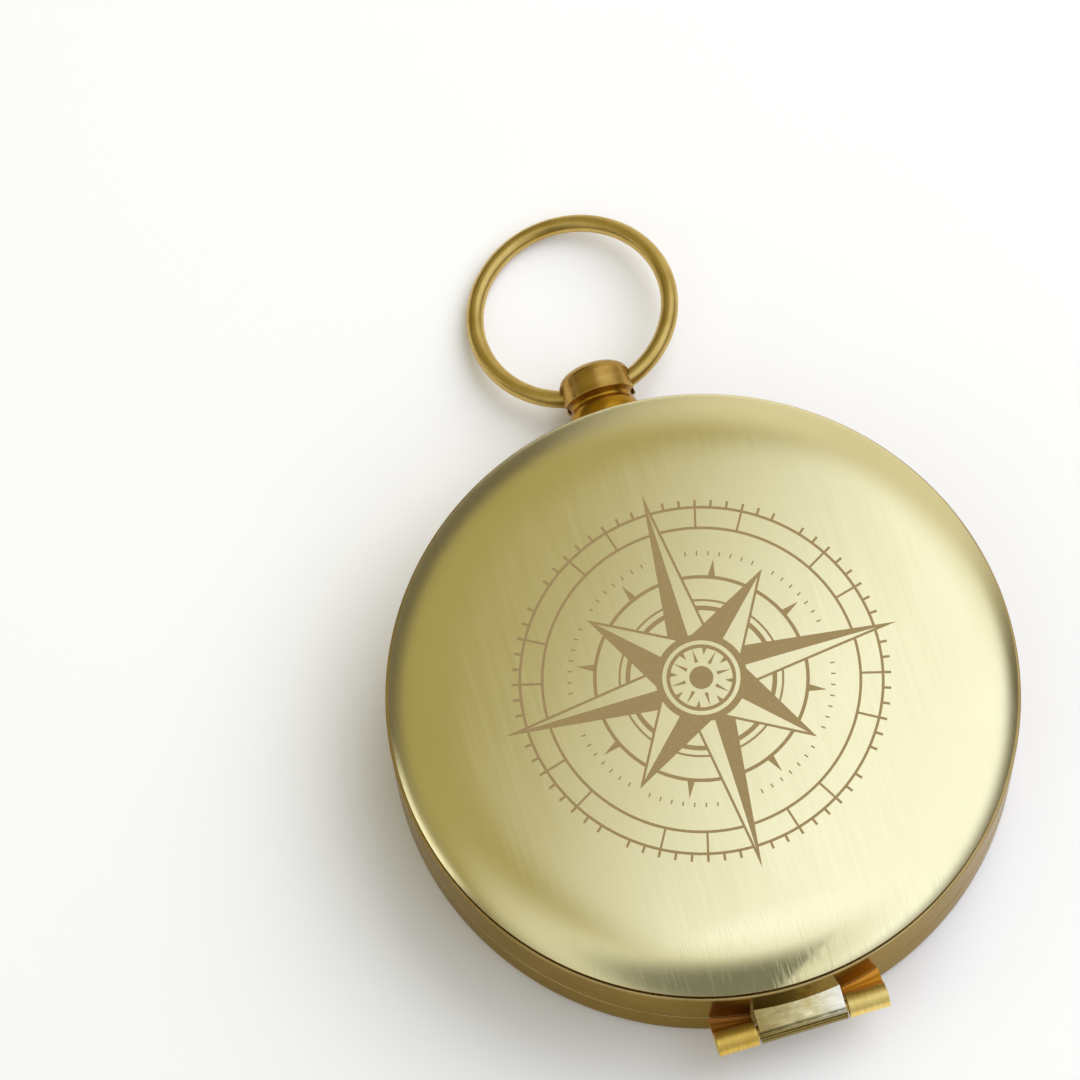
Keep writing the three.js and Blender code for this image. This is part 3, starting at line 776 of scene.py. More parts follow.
# The lid's plate slopes on to the barrel, folds over two fine lines and wraps round underneath
plateTop = hinge["barrel"] + hinge["leafRise"]
plateHalf = hinge["centre"] / 2
plateReach = wallReach(plateHalf)
lidLeaf = np.array([
    (plateReach, plateTop - hinge["leafThickness"]),
    (plateReach, plateTop),
])
wrapAngles = np.linspace(*hinge["wrap"], hinge["wrapSteps"])
foldLines = sum(deep * np.exp(-((wrapAngles - at) / hinge["foldWidth"]) ** 2) for at, deep in hinge["folds"])
wrap = arcPoints(hinge["barrel"] - hinge["foldDepth"] * foldLines, *hinge["wrap"], hinge["wrapSteps"])
makeKnuckle("hingePlate", lidLeaf, wrap, -plateHalf, plateHalf, plateBrassPaintedReflection, "lid", "hinge_knuckle_centre")
print("hinge made")

# Stem and bow
bowJoint = jointNamed("bow_swing")
bowAt = np.array(bowJoint["pos_m"]) / mm
bowAxis = np.array(bowJoint["axis"])
stemLow, stemHigh = span("bow_stem")
stem = {
    "spigotEnd": stemLow[1],
    "spigot": 1.0,
    "flangeStart": 25.25,
    "flange": 3.05,
    "coneStart": 26.05,
    "cone": 2.9,
    "bulge": 0.2,
    "waistAt": 27.8,
    "waist": 2.5,
    "bandStart": 28.2,
    "bandEnd": 30.1,
    "ball": 3.05,
    "end": stemHigh[1],
    "hole": 1.17,
    "holeSteps": 64,
    "conePull": 0.5,  # how far before the waist the cone's bulge lies
    "flarePull": (0.05, 0.06),  # out from the waist and back from the band, where the flare's curve bends
    "bandEase": 0.06,
    "bandDrop": (0.15, 0.12),  # from the band's radius down to its front edge and to the domed end
    "frontEases": [0, 0.1, 0.02, 0.16, 0.16, 0],
    "bandEases": [0, 0.16, 0.16, 0],
    "spacing": 0.12,
    "steps": (14, 12, 24),  # along the cone, the flare and the dome
    "turns": 96,
}


# A part turned about Z laid down: its Z becomes +Y, and its axis lies at the height of the bow's hole
def layDown(part):
    points, faces = part
    return np.column_stack([points[:, 1], points[:, 2], bowAt[2] + points[:, 0]]), faces


coneSteps, flareSteps, domeSteps = stem["steps"]
coneFoot, waist = (stem["cone"], stem["coneStart"]), (stem["waist"], stem["waistAt"])
cone = bend(coneFoot, (stem["cone"] + stem["bulge"], stem["waistAt"] - stem["conePull"]), waist, coneSteps)
flareBend = (stem["waist"] + stem["flarePull"][0], stem["bandStart"] - stem["flarePull"][1])
flare = bend(waist, flareBend, (stem["ball"] - stem["bandDrop"][0], stem["bandStart"]), flareSteps)
domeSweep = np.linspace(0, np.pi / 2, domeSteps)
stemDome = np.column_stack([
    (stem["ball"] - stem["bandDrop"][1]) * np.cos(domeSweep),
    stem["bandEnd"] + (stem["end"] - stem["bandEnd"]) * np.sin(domeSweep),
])
stemCorners = stepCorners(
    0, stem["spigotEnd"],
    stem["spigot"], stem["flangeStart"],
    stem["flange"], stem["coneStart"],
    stem["cone"],
)
stemFront = roundCorners(stemCorners, stem["frontEases"], closed=False)
stemBand = roundCorners([
    tuple(flare[-1]),
    (stem["ball"], stem["bandStart"] + stem["bandEase"]),
    (stem["ball"], stem["bandEnd"] - stem["bandEase"]),
    tuple(stemDome[0]),
], stem["bandEases"], closed=False)
stemProfile = np.vstack([stemFront, cone[1:-1], flare, stemBand, stemDome])
stemProfile = refine(stemProfile, stem["spacing"], False)
turnedStem = layDown(turnedPart(stemProfile, stem["turns"], closed=False))
bowStem = makePiece("bowStem", [turnedStem], stemBrass, "case", ["bow_stem"])
toHole = Vector((0, 0, 1)).rotation_difference(Vector(bowAxis)).to_matrix().to_4x4()
toHole = Matrix.Translation(Vector(bowAt * mm)) @ toHole
drill = bmesh.new()
holeRadius = stem["hole"] * mm
bmesh.ops.create_cone(drill, cap_ends=True, segments=stem["holeSteps"],
                      radius1=holeRadius, radius2=holeRadius, depth=stem["ball"] * 4 * mm, matrix=toHole)
drillMesh = bpy.data.meshes.new("drill")
drill.to_mesh(drillMesh)
drill.free()
drillPiece = addObject("drill", drillMesh)
bore = bowStem.modifiers.new("bow hole", "BOOLEAN")
bore.operation = "DIFFERENCE"
bore.solver = "EXACT"
bore.object = drillPiece
drilled = shownMesh(bowStem)
bowStem.modifiers.clear()
bowStem.data = drilled
bpy.data.objects.remove(drillPiece)
smoothMesh(drilled)

bowLow, bowHigh = span("bow_ring")
bowCentreAt = (bowLow + bowHigh) / 2
bow = {"wire": 0.718, "inside": 0.01, "around": 220, "section": 40}
outwards = bowCentreAt - bowAt
outwards -= bowAxis * (outwards @ bowAxis)
outwards /= np.linalg.norm(outwards)
bowSpread = np.linalg.norm([bowAxis[0], outwards[0]])  # half the width along X of a circle of radius 1
bow["radius"] = (bowHigh[0] - bowLow[0]) / 2 / bowSpread - bow["wire"] - bow["inside"]


# A ring of wire: the section's circle carried round a circle that lies in the plane of the bow
def bowPart(centre):
    around = (np.arange(bow["around"]) * 2 * np.pi / bow["around"])[:, None, None]
    section = (np.arange(bow["section"]) * 2 * np.pi / bow["section"])[None, :, None]
    square = np.cross(bowAxis, outwards)
    radial = np.cos(around) * outwards + np.sin(around) * bowAxis
    reach = bow["radius"] + bow["wire"] * np.cos(section)
    grid = centre + radial * reach + square * bow["wire"] * np.sin(section)
    return gridPart(grid, closeRows=True, closeColumns=True)


makePiece("bowRing", [bowPart(bowCentreAt)], bowBrass, "bow", ["bow_ring"])
print("stem and bow made, wire ring radius", round(bow["radius"], 3))

# Bezel, dial and needle: all are drawn with north up, then turned so that north lies at the hinge
clearPlastic = makeFinish(
    "clear plastic of the bezel", (0.97, 0.98, 0.96), 0.05,
    tint=((0.2,), (0.96, 0.975, 0.945), (0.98, 0.985, 0.97)),
    wear=((1.8, even, 6), 0.03, 0.09),
    relief=((0.6,), 0.002),
)
windowPlastic = makeFinish(
    "clear plastic of the window", (0.98, 0.985, 0.98), 0.02,
    tint=((0.1,), (0.975, 0.98, 0.97), (0.985, 0.99, 0.985)),
    wear=((3.0, (1, 0.1, 1), 6), 0.01, 0.04),
)
jewelPlastic = makeFinish(
    "clear cap of the needle", (0.90, 0.90, 0.88), 0.06,
    tint=((0.7,), (0.87, 0.87, 0.84), (0.93, 0.93, 0.92)),
    wear=((3.0,), 0.03, 0.12),
)
clearIndex = 1.49  # refractive index of all the clear plastic
for material, clear in ((clearPlastic, 0.8), (windowPlastic, 1.0), (jewelPlastic, 1.0)):
    setInputs(shaderOf(material), {"Transmission Weight": clear, "IOR": clearIndex})

luminousRing = makeFinish(
    "luminous ring of the scale", (0.80, 0.80, 0.64), 0.6,
    tint=((1.2, even, 6), (0.76, 0.76, 0.58), (0.83, 0.83, 0.69)),
    relief=((6.0,), 0.003),
)
luminousCard = makeFinish(
    "luminous card", (0.94, 0.92, 0.38), 0.65,
    tint=((0.12, even, 3), (0.92, 0.89, 0.31), (0.96, 0.95, 0.45)),
    relief=((14.0,), 0.002),
)
bronzeInk = makeFinish(
    "speckled bronze ink", (0.44, 0.30, 0.09), 0.5,
    tint=((9.0, even, 1), (0.30, 0.18, 0.04), (0.60, 0.45, 0.16), 0.42, 0.58),
)
redInk = makeFinish(
    "red ink", (0.83, 0.07, 0.03), 0.5,
    tint=((7.0,), (0.78, 0.055, 0.02), (0.88, 0.09, 0.045)),
)
blackInk = makeFinish(
    "black ink", (0.012, 0.011, 0.010), 0.42,
    tint=((6.0,), (0.009, 0.008, 0.007), (0.018, 0.016, 0.014)),
)
brownInk = makeFinish(
    "dark brown ink", (0.05, 0.03, 0.012), 0.45,
    tint=((8.0,), (0.035, 0.02, 0.008), (0.07, 0.045, 0.02)),
)
luminousDots = makeFinish(
    "luminous dots and needle patch", (0.70, 0.70, 0.60), 0.7,
    tint=((5.0,), (0.62, 0.62, 0.52), (0.76, 0.76, 0.68)),
    relief=((8.0,), 0.01),
)
creamPlastic = makeFinish(
    "moulded cream plastic", (0.76, 0.73, 0.60), 0.5,
    tint=((0.3,), (0.73, 0.70, 0.56), (0.79, 0.76, 0.64)),
    wear=((5.0,), 0.42, 0.6),
    relief=((9.0,), 0.004),
)
needlePaint = makeFinish(
    "black paint of the needle", (0.014, 0.014, 0.014), 0.38, 0.2,
    tint=((2.5, even, 6), (0.010, 0.010, 0.010), (0.024, 0.023, 0.022)),
    wear=((4.0, even, 6), 0.28, 0.5),
    relief=((6.0,), 0.006),
)
collarPlastic = makeFinish(
    "gloss black collar", (0.012, 0.012, 0.012), 0.18,
    tint=((3.0,), (0.009, 0.009, 0.009), (0.017, 0.017, 0.016)),
    wear=((4.0,), 0.12, 0.28),
)
pinSteel = makeFinish(
    "ground steel", (0.56, 0.57, 0.58), 0.28, 1,
    tint=((1.5,), (0.52, 0.53, 0.55), (0.60, 0.61, 0.62)),
    wear=((5.0, (0.2, 0.2, 3)), 0.2, 0.38),
)
padFoam = makeFinish(
    "dark foam", (0.02, 0.02, 0.02), 0.95,
    tint=((4.0,), (0.012, 0.012, 0.012), (0.035, 0.034, 0.032)),
    relief=((5.0,), 0.05),
)

bezelLow, bezelHigh = span("bezel_ring")
bezel = {
    "foot": bezelLow[2],
    "top": bezelHigh[2],
    "body": 23.45,
    "grips": 36,
    "gripAt": 23.25,
    "gripRadius": 0.75,
    "flange": 24.0,
    "flangeTop": 5.7,
    "gripTop": 9.22,
    "gripEase": 0.3,  # height over which the tops of the grips round over
    "skirtInner": 22.85,
    "bead": 22.35,
    "bore": 17.8,
    "plateBottom": 8.6,
    "bevel": 0.35,
    "gripSpan": 1.85,  # degrees to each side of a grip's middle
    "gapSpan": (2.3, 7.7),  # degrees from a grip's middle across the gap to the next one
    "gripSteps": (13, 7),  # across a grip and across a gap
    "skirtSteps": (8, 10),  # up the grips and over their eased tops
    "skirtGap": (0.02, 0.01),  # between the skirt's ends and the corners under and over it
    "beadDrop": 0.15,
    "cornerSteps": 5,
    "skirtEases": [0, 0.12, 0.12, 0],
    "topEases": [0, 0.12, 0.12, 0.12, 0.05, 0.08, 0.05, 0],
    "spacing": 0.9,
}


# A closed profile turned about Z; on the skirt the radius follows the circle of the nearest grip, which
# stands out at an angle a from it to c cos(a) + sqrt(r r - c c sin(a) sin(a)), and eases off at its top
def bezelPart(profile):
    pitch = 2 * np.pi / bezel["grips"]
    near = np.radians(np.linspace(-bezel["gripSpan"], bezel["gripSpan"], bezel["gripSteps"][0]))
    far = np.radians(np.linspace(*bezel["gapSpan"], bezel["gripSteps"][1]))
    angle = np.add.outer((np.arange(bezel["grips"]) + 0.5) * pitch, np.concatenate([near, far])).ravel()
    away = (angle / pitch - np.floor(angle / pitch) - 0.5) * pitch
    inside = np.maximum(bezel["gripRadius"] ** 2 - (bezel["gripAt"] * np.sin(away)) ** 2, 0)
    proud = np.where(inside > 0, bezel["gripAt"] * np.cos(away) + np.sqrt(inside) - bezel["body"], 0)
    radius, height = profile[:, 0, None], profile[:, 1, None]
    ease = np.sqrt(np.clip((bezel["gripTop"] - height) / bezel["gripEase"], 0, 1))
    onSkirt = (np.abs(radius - bezel["body"]) < 1e-6) & (height > bezel["flangeTop"] - bezel["skirtGap"][1])
    radius = radius + np.maximum(proud, 0) * ease * onSkirt
    return gridPart(aboutZ(radius, angle, height), closeRows=True, closeColumns=True)


straightSteps, easedSteps = bezel["skirtSteps"]
easedShare = np.linspace(1 / easedSteps, 1, easedSteps)
skirtHeights = np.concatenate([
    np.linspace(bezel["flangeTop"], bezel["gripTop"] - bezel["gripEase"], straightSteps),
    bezel["gripTop"] - bezel["gripEase"] * (1 - easedShare) ** 2,
])
bezelProfile = np.vstack([
    roundCorners([
        (bezel["bead"], bezel["foot"]),
        (bezel["flange"], bezel["foot"]),
        (bezel["flange"], bezel["flangeTop"]),
        (bezel["body"] + bezel["skirtGap"][0], bezel["flangeTop"]),
    ], bezel["skirtEases"], closed=False, steps=bezel["cornerSteps"]),
    np.column_stack([np.full(len(skirtHeights), bezel["body"]), skirtHeights]),
    roundCorners([
        (bezel["body"], bezel["top"] - bezel["bevel"] + bezel["skirtGap"][1]),
        (bezel["body"] - bezel["bevel"], bezel["top"]),
        (bezel["bore"] + bezel["bevel"], bezel["top"]),
        (bezel["bore"], bezel["top"] - bezel["bevel"]),
        (bezel["bore"], bezel["plateBottom"]),
        (bezel["skirtInner"], bezel["plateBottom"]),
        (bezel["skirtInner"], bezel["flangeTop"]),
        (bezel["bead"], bezel["flangeTop"] - bezel["beadDrop"]),
    ], bezel["topEases"], closed=False, steps=bezel["cornerSteps"]),
])
bezelTurned = bezelPart(refine(bezelProfile, bezel["spacing"]))
makePiece("bezelRing", [bezelTurned], clearPlastic, "bezel", ["bezel_ring"])

turning = {"steps": 216, "cornerSteps": 5, "spacing": 0.6}


# A ring or disc turned from a CAD node's own section with its corners eased
def makeTurned(name, corners, eases, material, body, node, closed=True, spacing=turning["spacing"]):
    profile = refine(roundCorners(corners, eases, closed, turning["cornerSteps"]), spacing, closed)
    turned = turnedPart(profile, turning["steps"], closed)
    return makePiece(name, [turned], material, body, [node])


scaleRing = {"inner": 18.6, "eases": [0.05] * 4}
scaleLow, scaleHigh = span("bezel_scale")
scaleCorners = stepCorners(scaleRing["inner"], scaleLow[2], scaleHigh[0], scaleHigh[2], scaleRing["inner"])
makeTurned("bezelScale", scaleCorners, scaleRing["eases"], luminousRing,
           "bezel", "bezel_scale")

carrierLow, carrierHigh = span("carrier_ring")
carrier = {
    "inner": 18.6,
    "outer": 22.55,
    "foot": 0.5,
    "groove": 22.05,
    "grooveBottom": 4.8,
    "grooveTop": 6.0,
    "eases": [0.06] * 10,
}
carrierCorners = stepCorners(
    carrier["inner"], carrierLow[2],
    carrierHigh[0], carrierLow[2] + carrier["foot"],
    carrier["outer"], carrier["grooveBottom"],
    carrier["groove"], carrier["grooveTop"],
    carrier["outer"], carrierHigh[2],
    carrier["inner"],
)
makeTurned("carrierRing", carrierCorners, carrier["eases"], creamPlastic,
           "case", "carrier_ring")

capsuleLow, capsuleHigh = span("capsule_cover")
capsule = {
    "inner": 17.4,
    "window": 0.9,
    "bevel": 0.5,
    "stopInner": 2.7,
    "stopOuter": 3.3,
    "stopDepth": 0.3,
    "eases": [0, 0.05, 0.08, 0.08, 0.05, 0.2, 0.05, 0.05, 0.2, 0.2, 0],
    "spacing": 1.2,
}
windowBottom = capsuleHigh[2] - capsule["window"]
capsuleCorners = stepCorners(
    0, windowBottom,
    capsule["stopInner"], windowBottom - capsule["stopDepth"],
    capsule["stopOuter"], windowBottom,
    capsule["inner"], capsuleLow[2],
    capsuleHigh[0], capsuleHigh[2] - capsule["bevel"],
)
capsuleCorners += [(capsuleHigh[0] - capsule["bevel"], capsuleHigh[2]), (0, capsuleHigh[2])]
makeTurned("capsuleCover", capsuleCorners, capsule["eases"], windowPlastic,
           "case", "capsule_cover", False, capsule["spacing"])

cardLow, cardHigh = span("dial_card")
card = {"hole": 0.95, "eases": [0.03] * 4, "spacing": 1.5}
cardCorners = stepCorners(card["hole"], cardLow[2], cardHigh[0], cardHigh[2], card["hole"])
makeTurned("dialCard", cardCorners, card["eases"], luminousCard, "case", "dial_card",
           spacing=card["spacing"])

collarLow, collarHigh = span("needle_collar")
collar = {"bore": 2.1, "outer": 3.1, "bevel": 0.22, "eases": [0.03, 0.05, 0.12, 0.12, 0.08], "spacing": 0.3}
makeTurned("needleCollar", [
    (collar["bore"], collarLow[2]),
    (collar["outer"], collarLow[2]),
    (collar["outer"], collarHigh[2] - collar["bevel"]),
    (collar["outer"] - collar["bevel"], collarHigh[2]),
    (collar["bore"], collarHigh[2]),
], collar["eases"], collarPlastic, "needle", "needle_collar", spacing=collar["spacing"])

jewelLow, jewelHigh = span("needle_jewel")
jewel = {
    "radius": 1.95,
    "flange": 2.6,
    "flangeTop": 5.43,
    "socket": 0.9,
    "steps": (0.45, 1.15),
    "stepRise": 0.22,
    "eases": [0, 0.05, 0.05, 0.05, 0.03, 0.1, 0.05, 0.08, 0.05, 0.1, 0],
    "spacing": 0.3,
}
jewelMiddle, jewelInner = (jewel["radius"] - inset for inset in jewel["steps"])
jewelCorners = [(0, jewelLow[2] + jewel["socket"])]
jewelCorners += stepCorners(
    jewel["socket"], jewelLow[2],
    jewel["flange"], jewel["flangeTop"],
    jewel["radius"], jewelHigh[2] - 2 * jewel["stepRise"],
    jewelMiddle, jewelHigh[2] - jewel["stepRise"],
    jewelInner, jewelHigh[2],
    0,
)
makeTurned("needleJewel", jewelCorners, jewel["eases"], jewelPlastic,
           "needle", "needle_jewel", False, jewel["spacing"])
print("bezel, capsule and needle made")


# Flat parts turned half round about Z, so that their north lies at the hinge
def halfRound(part):
    points, faces = part
    return points * np.array([-1, -1, 1]), faces


# Words bent round a circle: across the word becomes bearing, up the word becomes radius
def wordPart(words, size, radius, bearing, height, weight=0.0, width=1.0):
    curve = bpy.data.curves.new("words", "FONT")
    curve.body = words
    curve.size = size
    curve.offset = weight
    curve.resolution_u = 5
    holder = addObject("words", curve)
    mesh = shownMesh(holder)
    mesh.calc_loop_triangles()
    points = np.empty(len(mesh.vertices) * 3)
    mesh.vertices.foreach_get("co", points)
    faces = np.empty(len(mesh.loop_triangles) * 3, int)
    mesh.loop_triangles.foreach_get("vertices", faces)
    bpy.data.objects.remove(holder)
    bpy.data.curves.remove(curve)
    bpy.data.meshes.remove(mesh)
    points = points.reshape(-1, 3)[:, :2]
    points = points - (points.min(0) + points.max(0)) / 2
    placed = fromNorth(radius + points[:, 1], bearing + points[:, 0] * width / radius)
    return np.column_stack([placed, np.full(len(placed), height)]), faces.reshape(-1, 3)


# A flat sheet at one height
def level(height):
    return lambda flat: np.full(len(flat), height)


figures = {
    "ticks": (21.2, 22.75, 0.085),
    "longTicks": (20.95, 22.95, 0.11),
    "radius": 19.75,
    "size": 2.95,
    "letterSize": 2.0,
    "weight": 0.13,
    "width": 0.92,  # share of the letters' own width
    "lift": 0.01,
    "thickness": 0.02,
}
figureTop = bezel["top"] + figures["lift"]
everyTwo = np.arange(0, 360, 2)
blackFigures = [
    patchPart(ticks(*figures["ticks"], np.radians(everyTwo[everyTwo % 10 != 0])), level(figureTop)),
    patchPart(ticks(*figures["longTicks"], np.radians(np.arange(0, 360, 10))), level(figureTop)),
]
labels = {bearing: str(bearing) for bearing in range(20, 360, 20)}
labels.update({90: "E", 180: "S", 270: "W"})
for bearing, words in labels.items():
    size = figures["letterSize"] if words in ("E", "W") else figures["size"]
    place = (figures["radius"], math.radians(bearing), figureTop)
    blackFigures.append(wordPart(words, size, *place, figures["weight"], figures["width"]))
redFigures = [wordPart("N", figures["size"], figures["radius"], 0.0, figureTop, figures["weight"])]
for name, parts, ink in (("bezelFigures", blackFigures, blackInk), ("bezelNorth", redFigures, redInk)):
    turned = [halfRound(part) for part in parts]
    makePrint(name, turned, ink, "bezel", figures["thickness"])

# Dial print, inks over each other on the card
dial = {
    "tickRing": (15.2, 17.1),
    "ringLine": 0.09,
    "tickCount": 80,
    "tickHalf": 0.055,
    "bronzeRing": (11.95, 12.95),
    "redRing": (11.72, 11.86),
    "disc": (3.4, 8.6),
    "discLine": (8.55, 8.78),
    "spokes": (8.7, 11.8, 0.06),
    "wedge": (13.25, 16.6, 13.27, 0.52),  # foot, tip, widest radius and half width
    "star": (11.5, 3.3, 4.6),  # tip, root and notch
    "facetInset": (0.14, 0.98, 0.224),  # from the star's root, its tip and its half width
    "facetGap": 0.1,  # share of a facet's half width to the middle line
    "diamond": (3.6, 8.2, 5.6, 0.62),
    "thinRing": (6.42, 6.52),
    "scroll": (7.55, 0.2, 0.62, 0.055),  # radius, bearing from its point, size and half line
    "scrollTurns": 2.1,
    "scrollCore": 0.12,  # share of its size where it starts
    "dots": (9.1, 15.8, 0.65),
    "hubRing": (2.5, 3.4),
    "letters": (14.05, 2.5, 0.05),  # radius, size and weight
    "northLetter": (12.5, 1.9),
    "lift": 0.01,  # of each ink over the one below it
    "around": 160,  # steps round the outer rings
    "innerAround": (120, 90),  # steps round the thin ring and the hub's ring
}


# Height of a layer of ink: that of the card plus one lift for each layer
def inkTop(layer):
    return cardHigh[2] + dial["lift"] * layer


bronzeAt, redAt, blackAt, facetAt, topAt = (level(inkTop(layer)) for layer in (1, 2, 3, 4, 5))
offPoints = np.radians(np.arange(8) * 45 + 22.5)
onPoints = np.radians(np.arange(1, 8) * 45)
bronzeRings = [dial["bronzeRing"], dial["disc"]]
bronzeParts = [patchPart(fullRing(radii, dial["around"]), bronzeAt) for radii in bronzeRings]
redRings = [dial["redRing"], dial["discLine"]]
redRings += [(radius, radius + dial["ringLine"]) for radius in dial["tickRing"]]
redParts = [patchPart(fullRing(radii, dial["around"]), redAt) for radii in redRings]
redParts.append(patchPart(ticks(*dial["spokes"], offPoints), redAt))
tickBearings = np.arange(dial["tickCount"]) * 2 * np.pi / dial["tickCount"]
redParts.append(patchPart(ticks(*dial["tickRing"], dial["tickHalf"], tickBearings), redAt))


# Kites: from a foot to a tip along a bearing, widest at a radius between them
def kites(foot, tip, widest, half, bearings, sides=(-1, 1)):
    across = sideOf(bearings, half)
    ends = [fromNorth(radius, bearings) for radius in (foot, widest, tip)]
    left = np.stack([ends[0], ends[1] + across * sides[0], ends[2]], 1)
    right = np.stack([ends[0], ends[1] + across * sides[1], ends[2]], 1)
    return np.stack([left, right], 2)


starTip, starRoot, starNotch = dial["star"]
starHalf = starNotch * math.sin(pointTurn / 2)
starWide = starNotch * math.cos(pointTurn / 2)
blackParts = [
    patchPart(kites(starRoot, starTip, starWide, starHalf, onPoints), redAt),
    patchPart(kites(*dial["diamond"], offPoints), blackAt),
    patchPart(kites(*dial["wedge"], offPoints), blackAt),
    patchPart(fullRing(dial["thinRing"], dial["innerAround"][0]), blackAt),
]
rootInset, tipInset, sideInset = dial["facetInset"]
facet = (starRoot + rootInset, starTip - tipInset, starWide, starHalf - sideInset, onPoints)
redParts.append(patchPart(kites(*facet, (-1, -dial["facetGap"])), facetAt))
bronzeParts.append(patchPart(kites(*facet, (dial["facetGap"], 1)), blackAt))


# Small scrolls: a spiral line whose radius grows evenly with its angle, one on each side of a point
def scrollPart(bearings, mirror):
    radius, away, size, half = dial["scroll"]
    t = np.linspace(0, 1, 40)
    turn = mirror * (t * dial["scrollTurns"] * 2 * np.pi) + np.pi / 2
    reach = size * (dial["scrollCore"] + (1 - dial["scrollCore"]) * t)
    line = np.stack([reach * np.cos(turn), reach * np.sin(turn)], -1)
    normal = line / reach[:, None] * half
    edges = np.stack([line - normal, line + normal], 1)
    turned = bearings + mirror * away
    centre = fromNorth(radius, turned)[:, None, None]
    east = sideOf(turned, 1.0)[:, None, None]
    north = fromNorth(1.0, turned)[:, None, None]
    return patchPart(centre + east * edges[None, :, :, :1] + north * edges[None, :, :, 1:], blackAt)


blackParts += [scrollPart(onPoints, mirror) for mirror in (-1, 1)]
letterRadius, letterSize, letterWeight = dial["letters"]
for words, bearing in zip(("NE", "E", "SE", "S", "SW", "W", "NW"), onPoints):
    blackParts.append(wordPart(words, letterSize, letterRadius, bearing, inkTop(3), letterWeight))

# Lily at north: a lozenge with bowed sides, two crescent petals, a stalk and a knob
lily = {
    "foot": 9.4,
    "tip": 15.9,
    "half": 2.05,
    "sharpen": (0.85, 1.15),  # powers of the height and of the sine
    "petalAt": (3.15, 11.3),
    "petal": 2.3,
    "hollow": 1.55,
    "hollowShift": (0.3, -1.0),
    "arc": (215.0, -55.0),  # degrees between which the petals run
    "taper": 0.6,
    "stalk": (5.4, 9.6, 0.14),
    "knob": (5.3, 0.55),
    "redInset": (0.9, 1.2, 0.42),  # from the lozenge's foot, its tip and its half width
    "petalInset": 0.21,
    "knobInset": 0.15,
    "steps": 40,
    "sideSteps": 30,
}


# Lozenge whose half width along its height t is that of a sine, sharpened towards its tip
def lozenge(foot, tip, half):
    t = np.linspace(0, 1, lily["sideSteps"])
    width = half * np.sin(np.pi * t ** lily["sharpen"][0]) ** lily["sharpen"][1]
    height = foot + (tip - foot) * t
    return np.stack([np.stack([-width, height], -1), np.stack([width, height], -1)], 1)[None]


# Crescent between a circle and a smaller one inside it, from one crossing of them to the other
def crescent(mirror, shrink):
    centre = np.array(lily["petalAt"])
    inner = centre + np.array(lily["hollowShift"])
    circle = arcPoints(1.0, *lily["arc"], lily["steps"])
    taper = np.sin(np.linspace(0, np.pi, lily["steps"]))[:, None] ** lily["taper"]
    outer = centre + (lily["petal"] - shrink) * circle
    hollow = inner + (lily["hollow"] + shrink) * circle
    middle = (outer + hollow) / 2
    edges = np.stack([middle + (outer - middle) * taper, middle + (hollow - middle) * taper], 1)
    return (edges * np.array([mirror, 1]))[None]


# Round patches: fans of points at one radius from each place
def discs(places, radius, steps=28):
    ring = arcPoints(radius, 0, 360, steps + 1)
    places = np.atleast_2d(places)[:, None, None]
    return places + np.stack([ring * 0, ring], 1)[None]


knobAt, knobRadius = lily["knob"]
footInset, topInset, widthInset = lily["redInset"]
blackParts += [
    patchPart(lozenge(lily["foot"], lily["tip"], lily["half"]), blackAt),
    patchPart(ticks(*lily["stalk"], 0.0), blackAt),
    patchPart(discs((0, knobAt), knobRadius), blackAt),
]
blackParts += [patchPart(crescent(mirror, 0), blackAt) for mirror in (-1, 1)]
redLozenge = lozenge(lily["foot"] + footInset, lily["tip"] - topInset, lily["half"] - widthInset)
redParts += [
    patchPart(redLozenge, facetAt),
    patchPart(discs((0, knobAt), knobRadius - lily["knobInset"]), facetAt),
]
redParts += [patchPart(crescent(mirror, lily["petalInset"]), facetAt) for mirror in (-1, 1)]
dotRadius, dotAway, dotSize = dial["dots"]
dotPlaces = fromNorth(dotRadius, np.radians([-dotAway, dotAway]))
paleParts = [patchPart(discs(dotPlaces, dotSize), topAt)]
northRadius, northSize = dial["northLetter"]
bronzeParts.append(wordPart("N", northSize, northRadius, 0.0, inkTop(5)))
brownParts = [patchPart(fullRing(dial["hubRing"], dial["innerAround"][1]), blackAt)]
for name, parts, ink, slot in (
    ("dialBronze", bronzeParts, bronzeInk, "luminous_card"),
    ("dialRed", redParts, redInk, "luminous_card"),
    ("dialBlack", blackParts, blackInk, "black_plastic"),
    ("dialPale", paleParts, luminousDots, "luminous_scale"),
    ("dialBrown", brownParts, brownInk, "luminous_card"),
):
    makePrint(name, [halfRound(part) for part in parts], ink, "case", dial["lift"] / 2)
print("dial printed")

# CAD nodes that stay as they are, each with its finish
finishes = {
    "base_pad": padFoam,
    "capsule_base": creamPlastic,
    "pivot_bush": bowBrass,
    "pivot_pin": pinSteel,
    "hinge_pin": litRightBrass,
    "stem_nut": stemBrass,
    "needle_blade": needlePaint,
    "needle_lume": luminousDots,
}
for node, material in finishes.items():
    kept = bpy.data.objects[node]
    kept.data.materials.clear()
    kept.data.materials.append(material)
blade = {"bevel": 0.06, "segments": 2}
addBevel(bpy.data.objects["needle_blade"], blade["bevel"], blade["segments"])

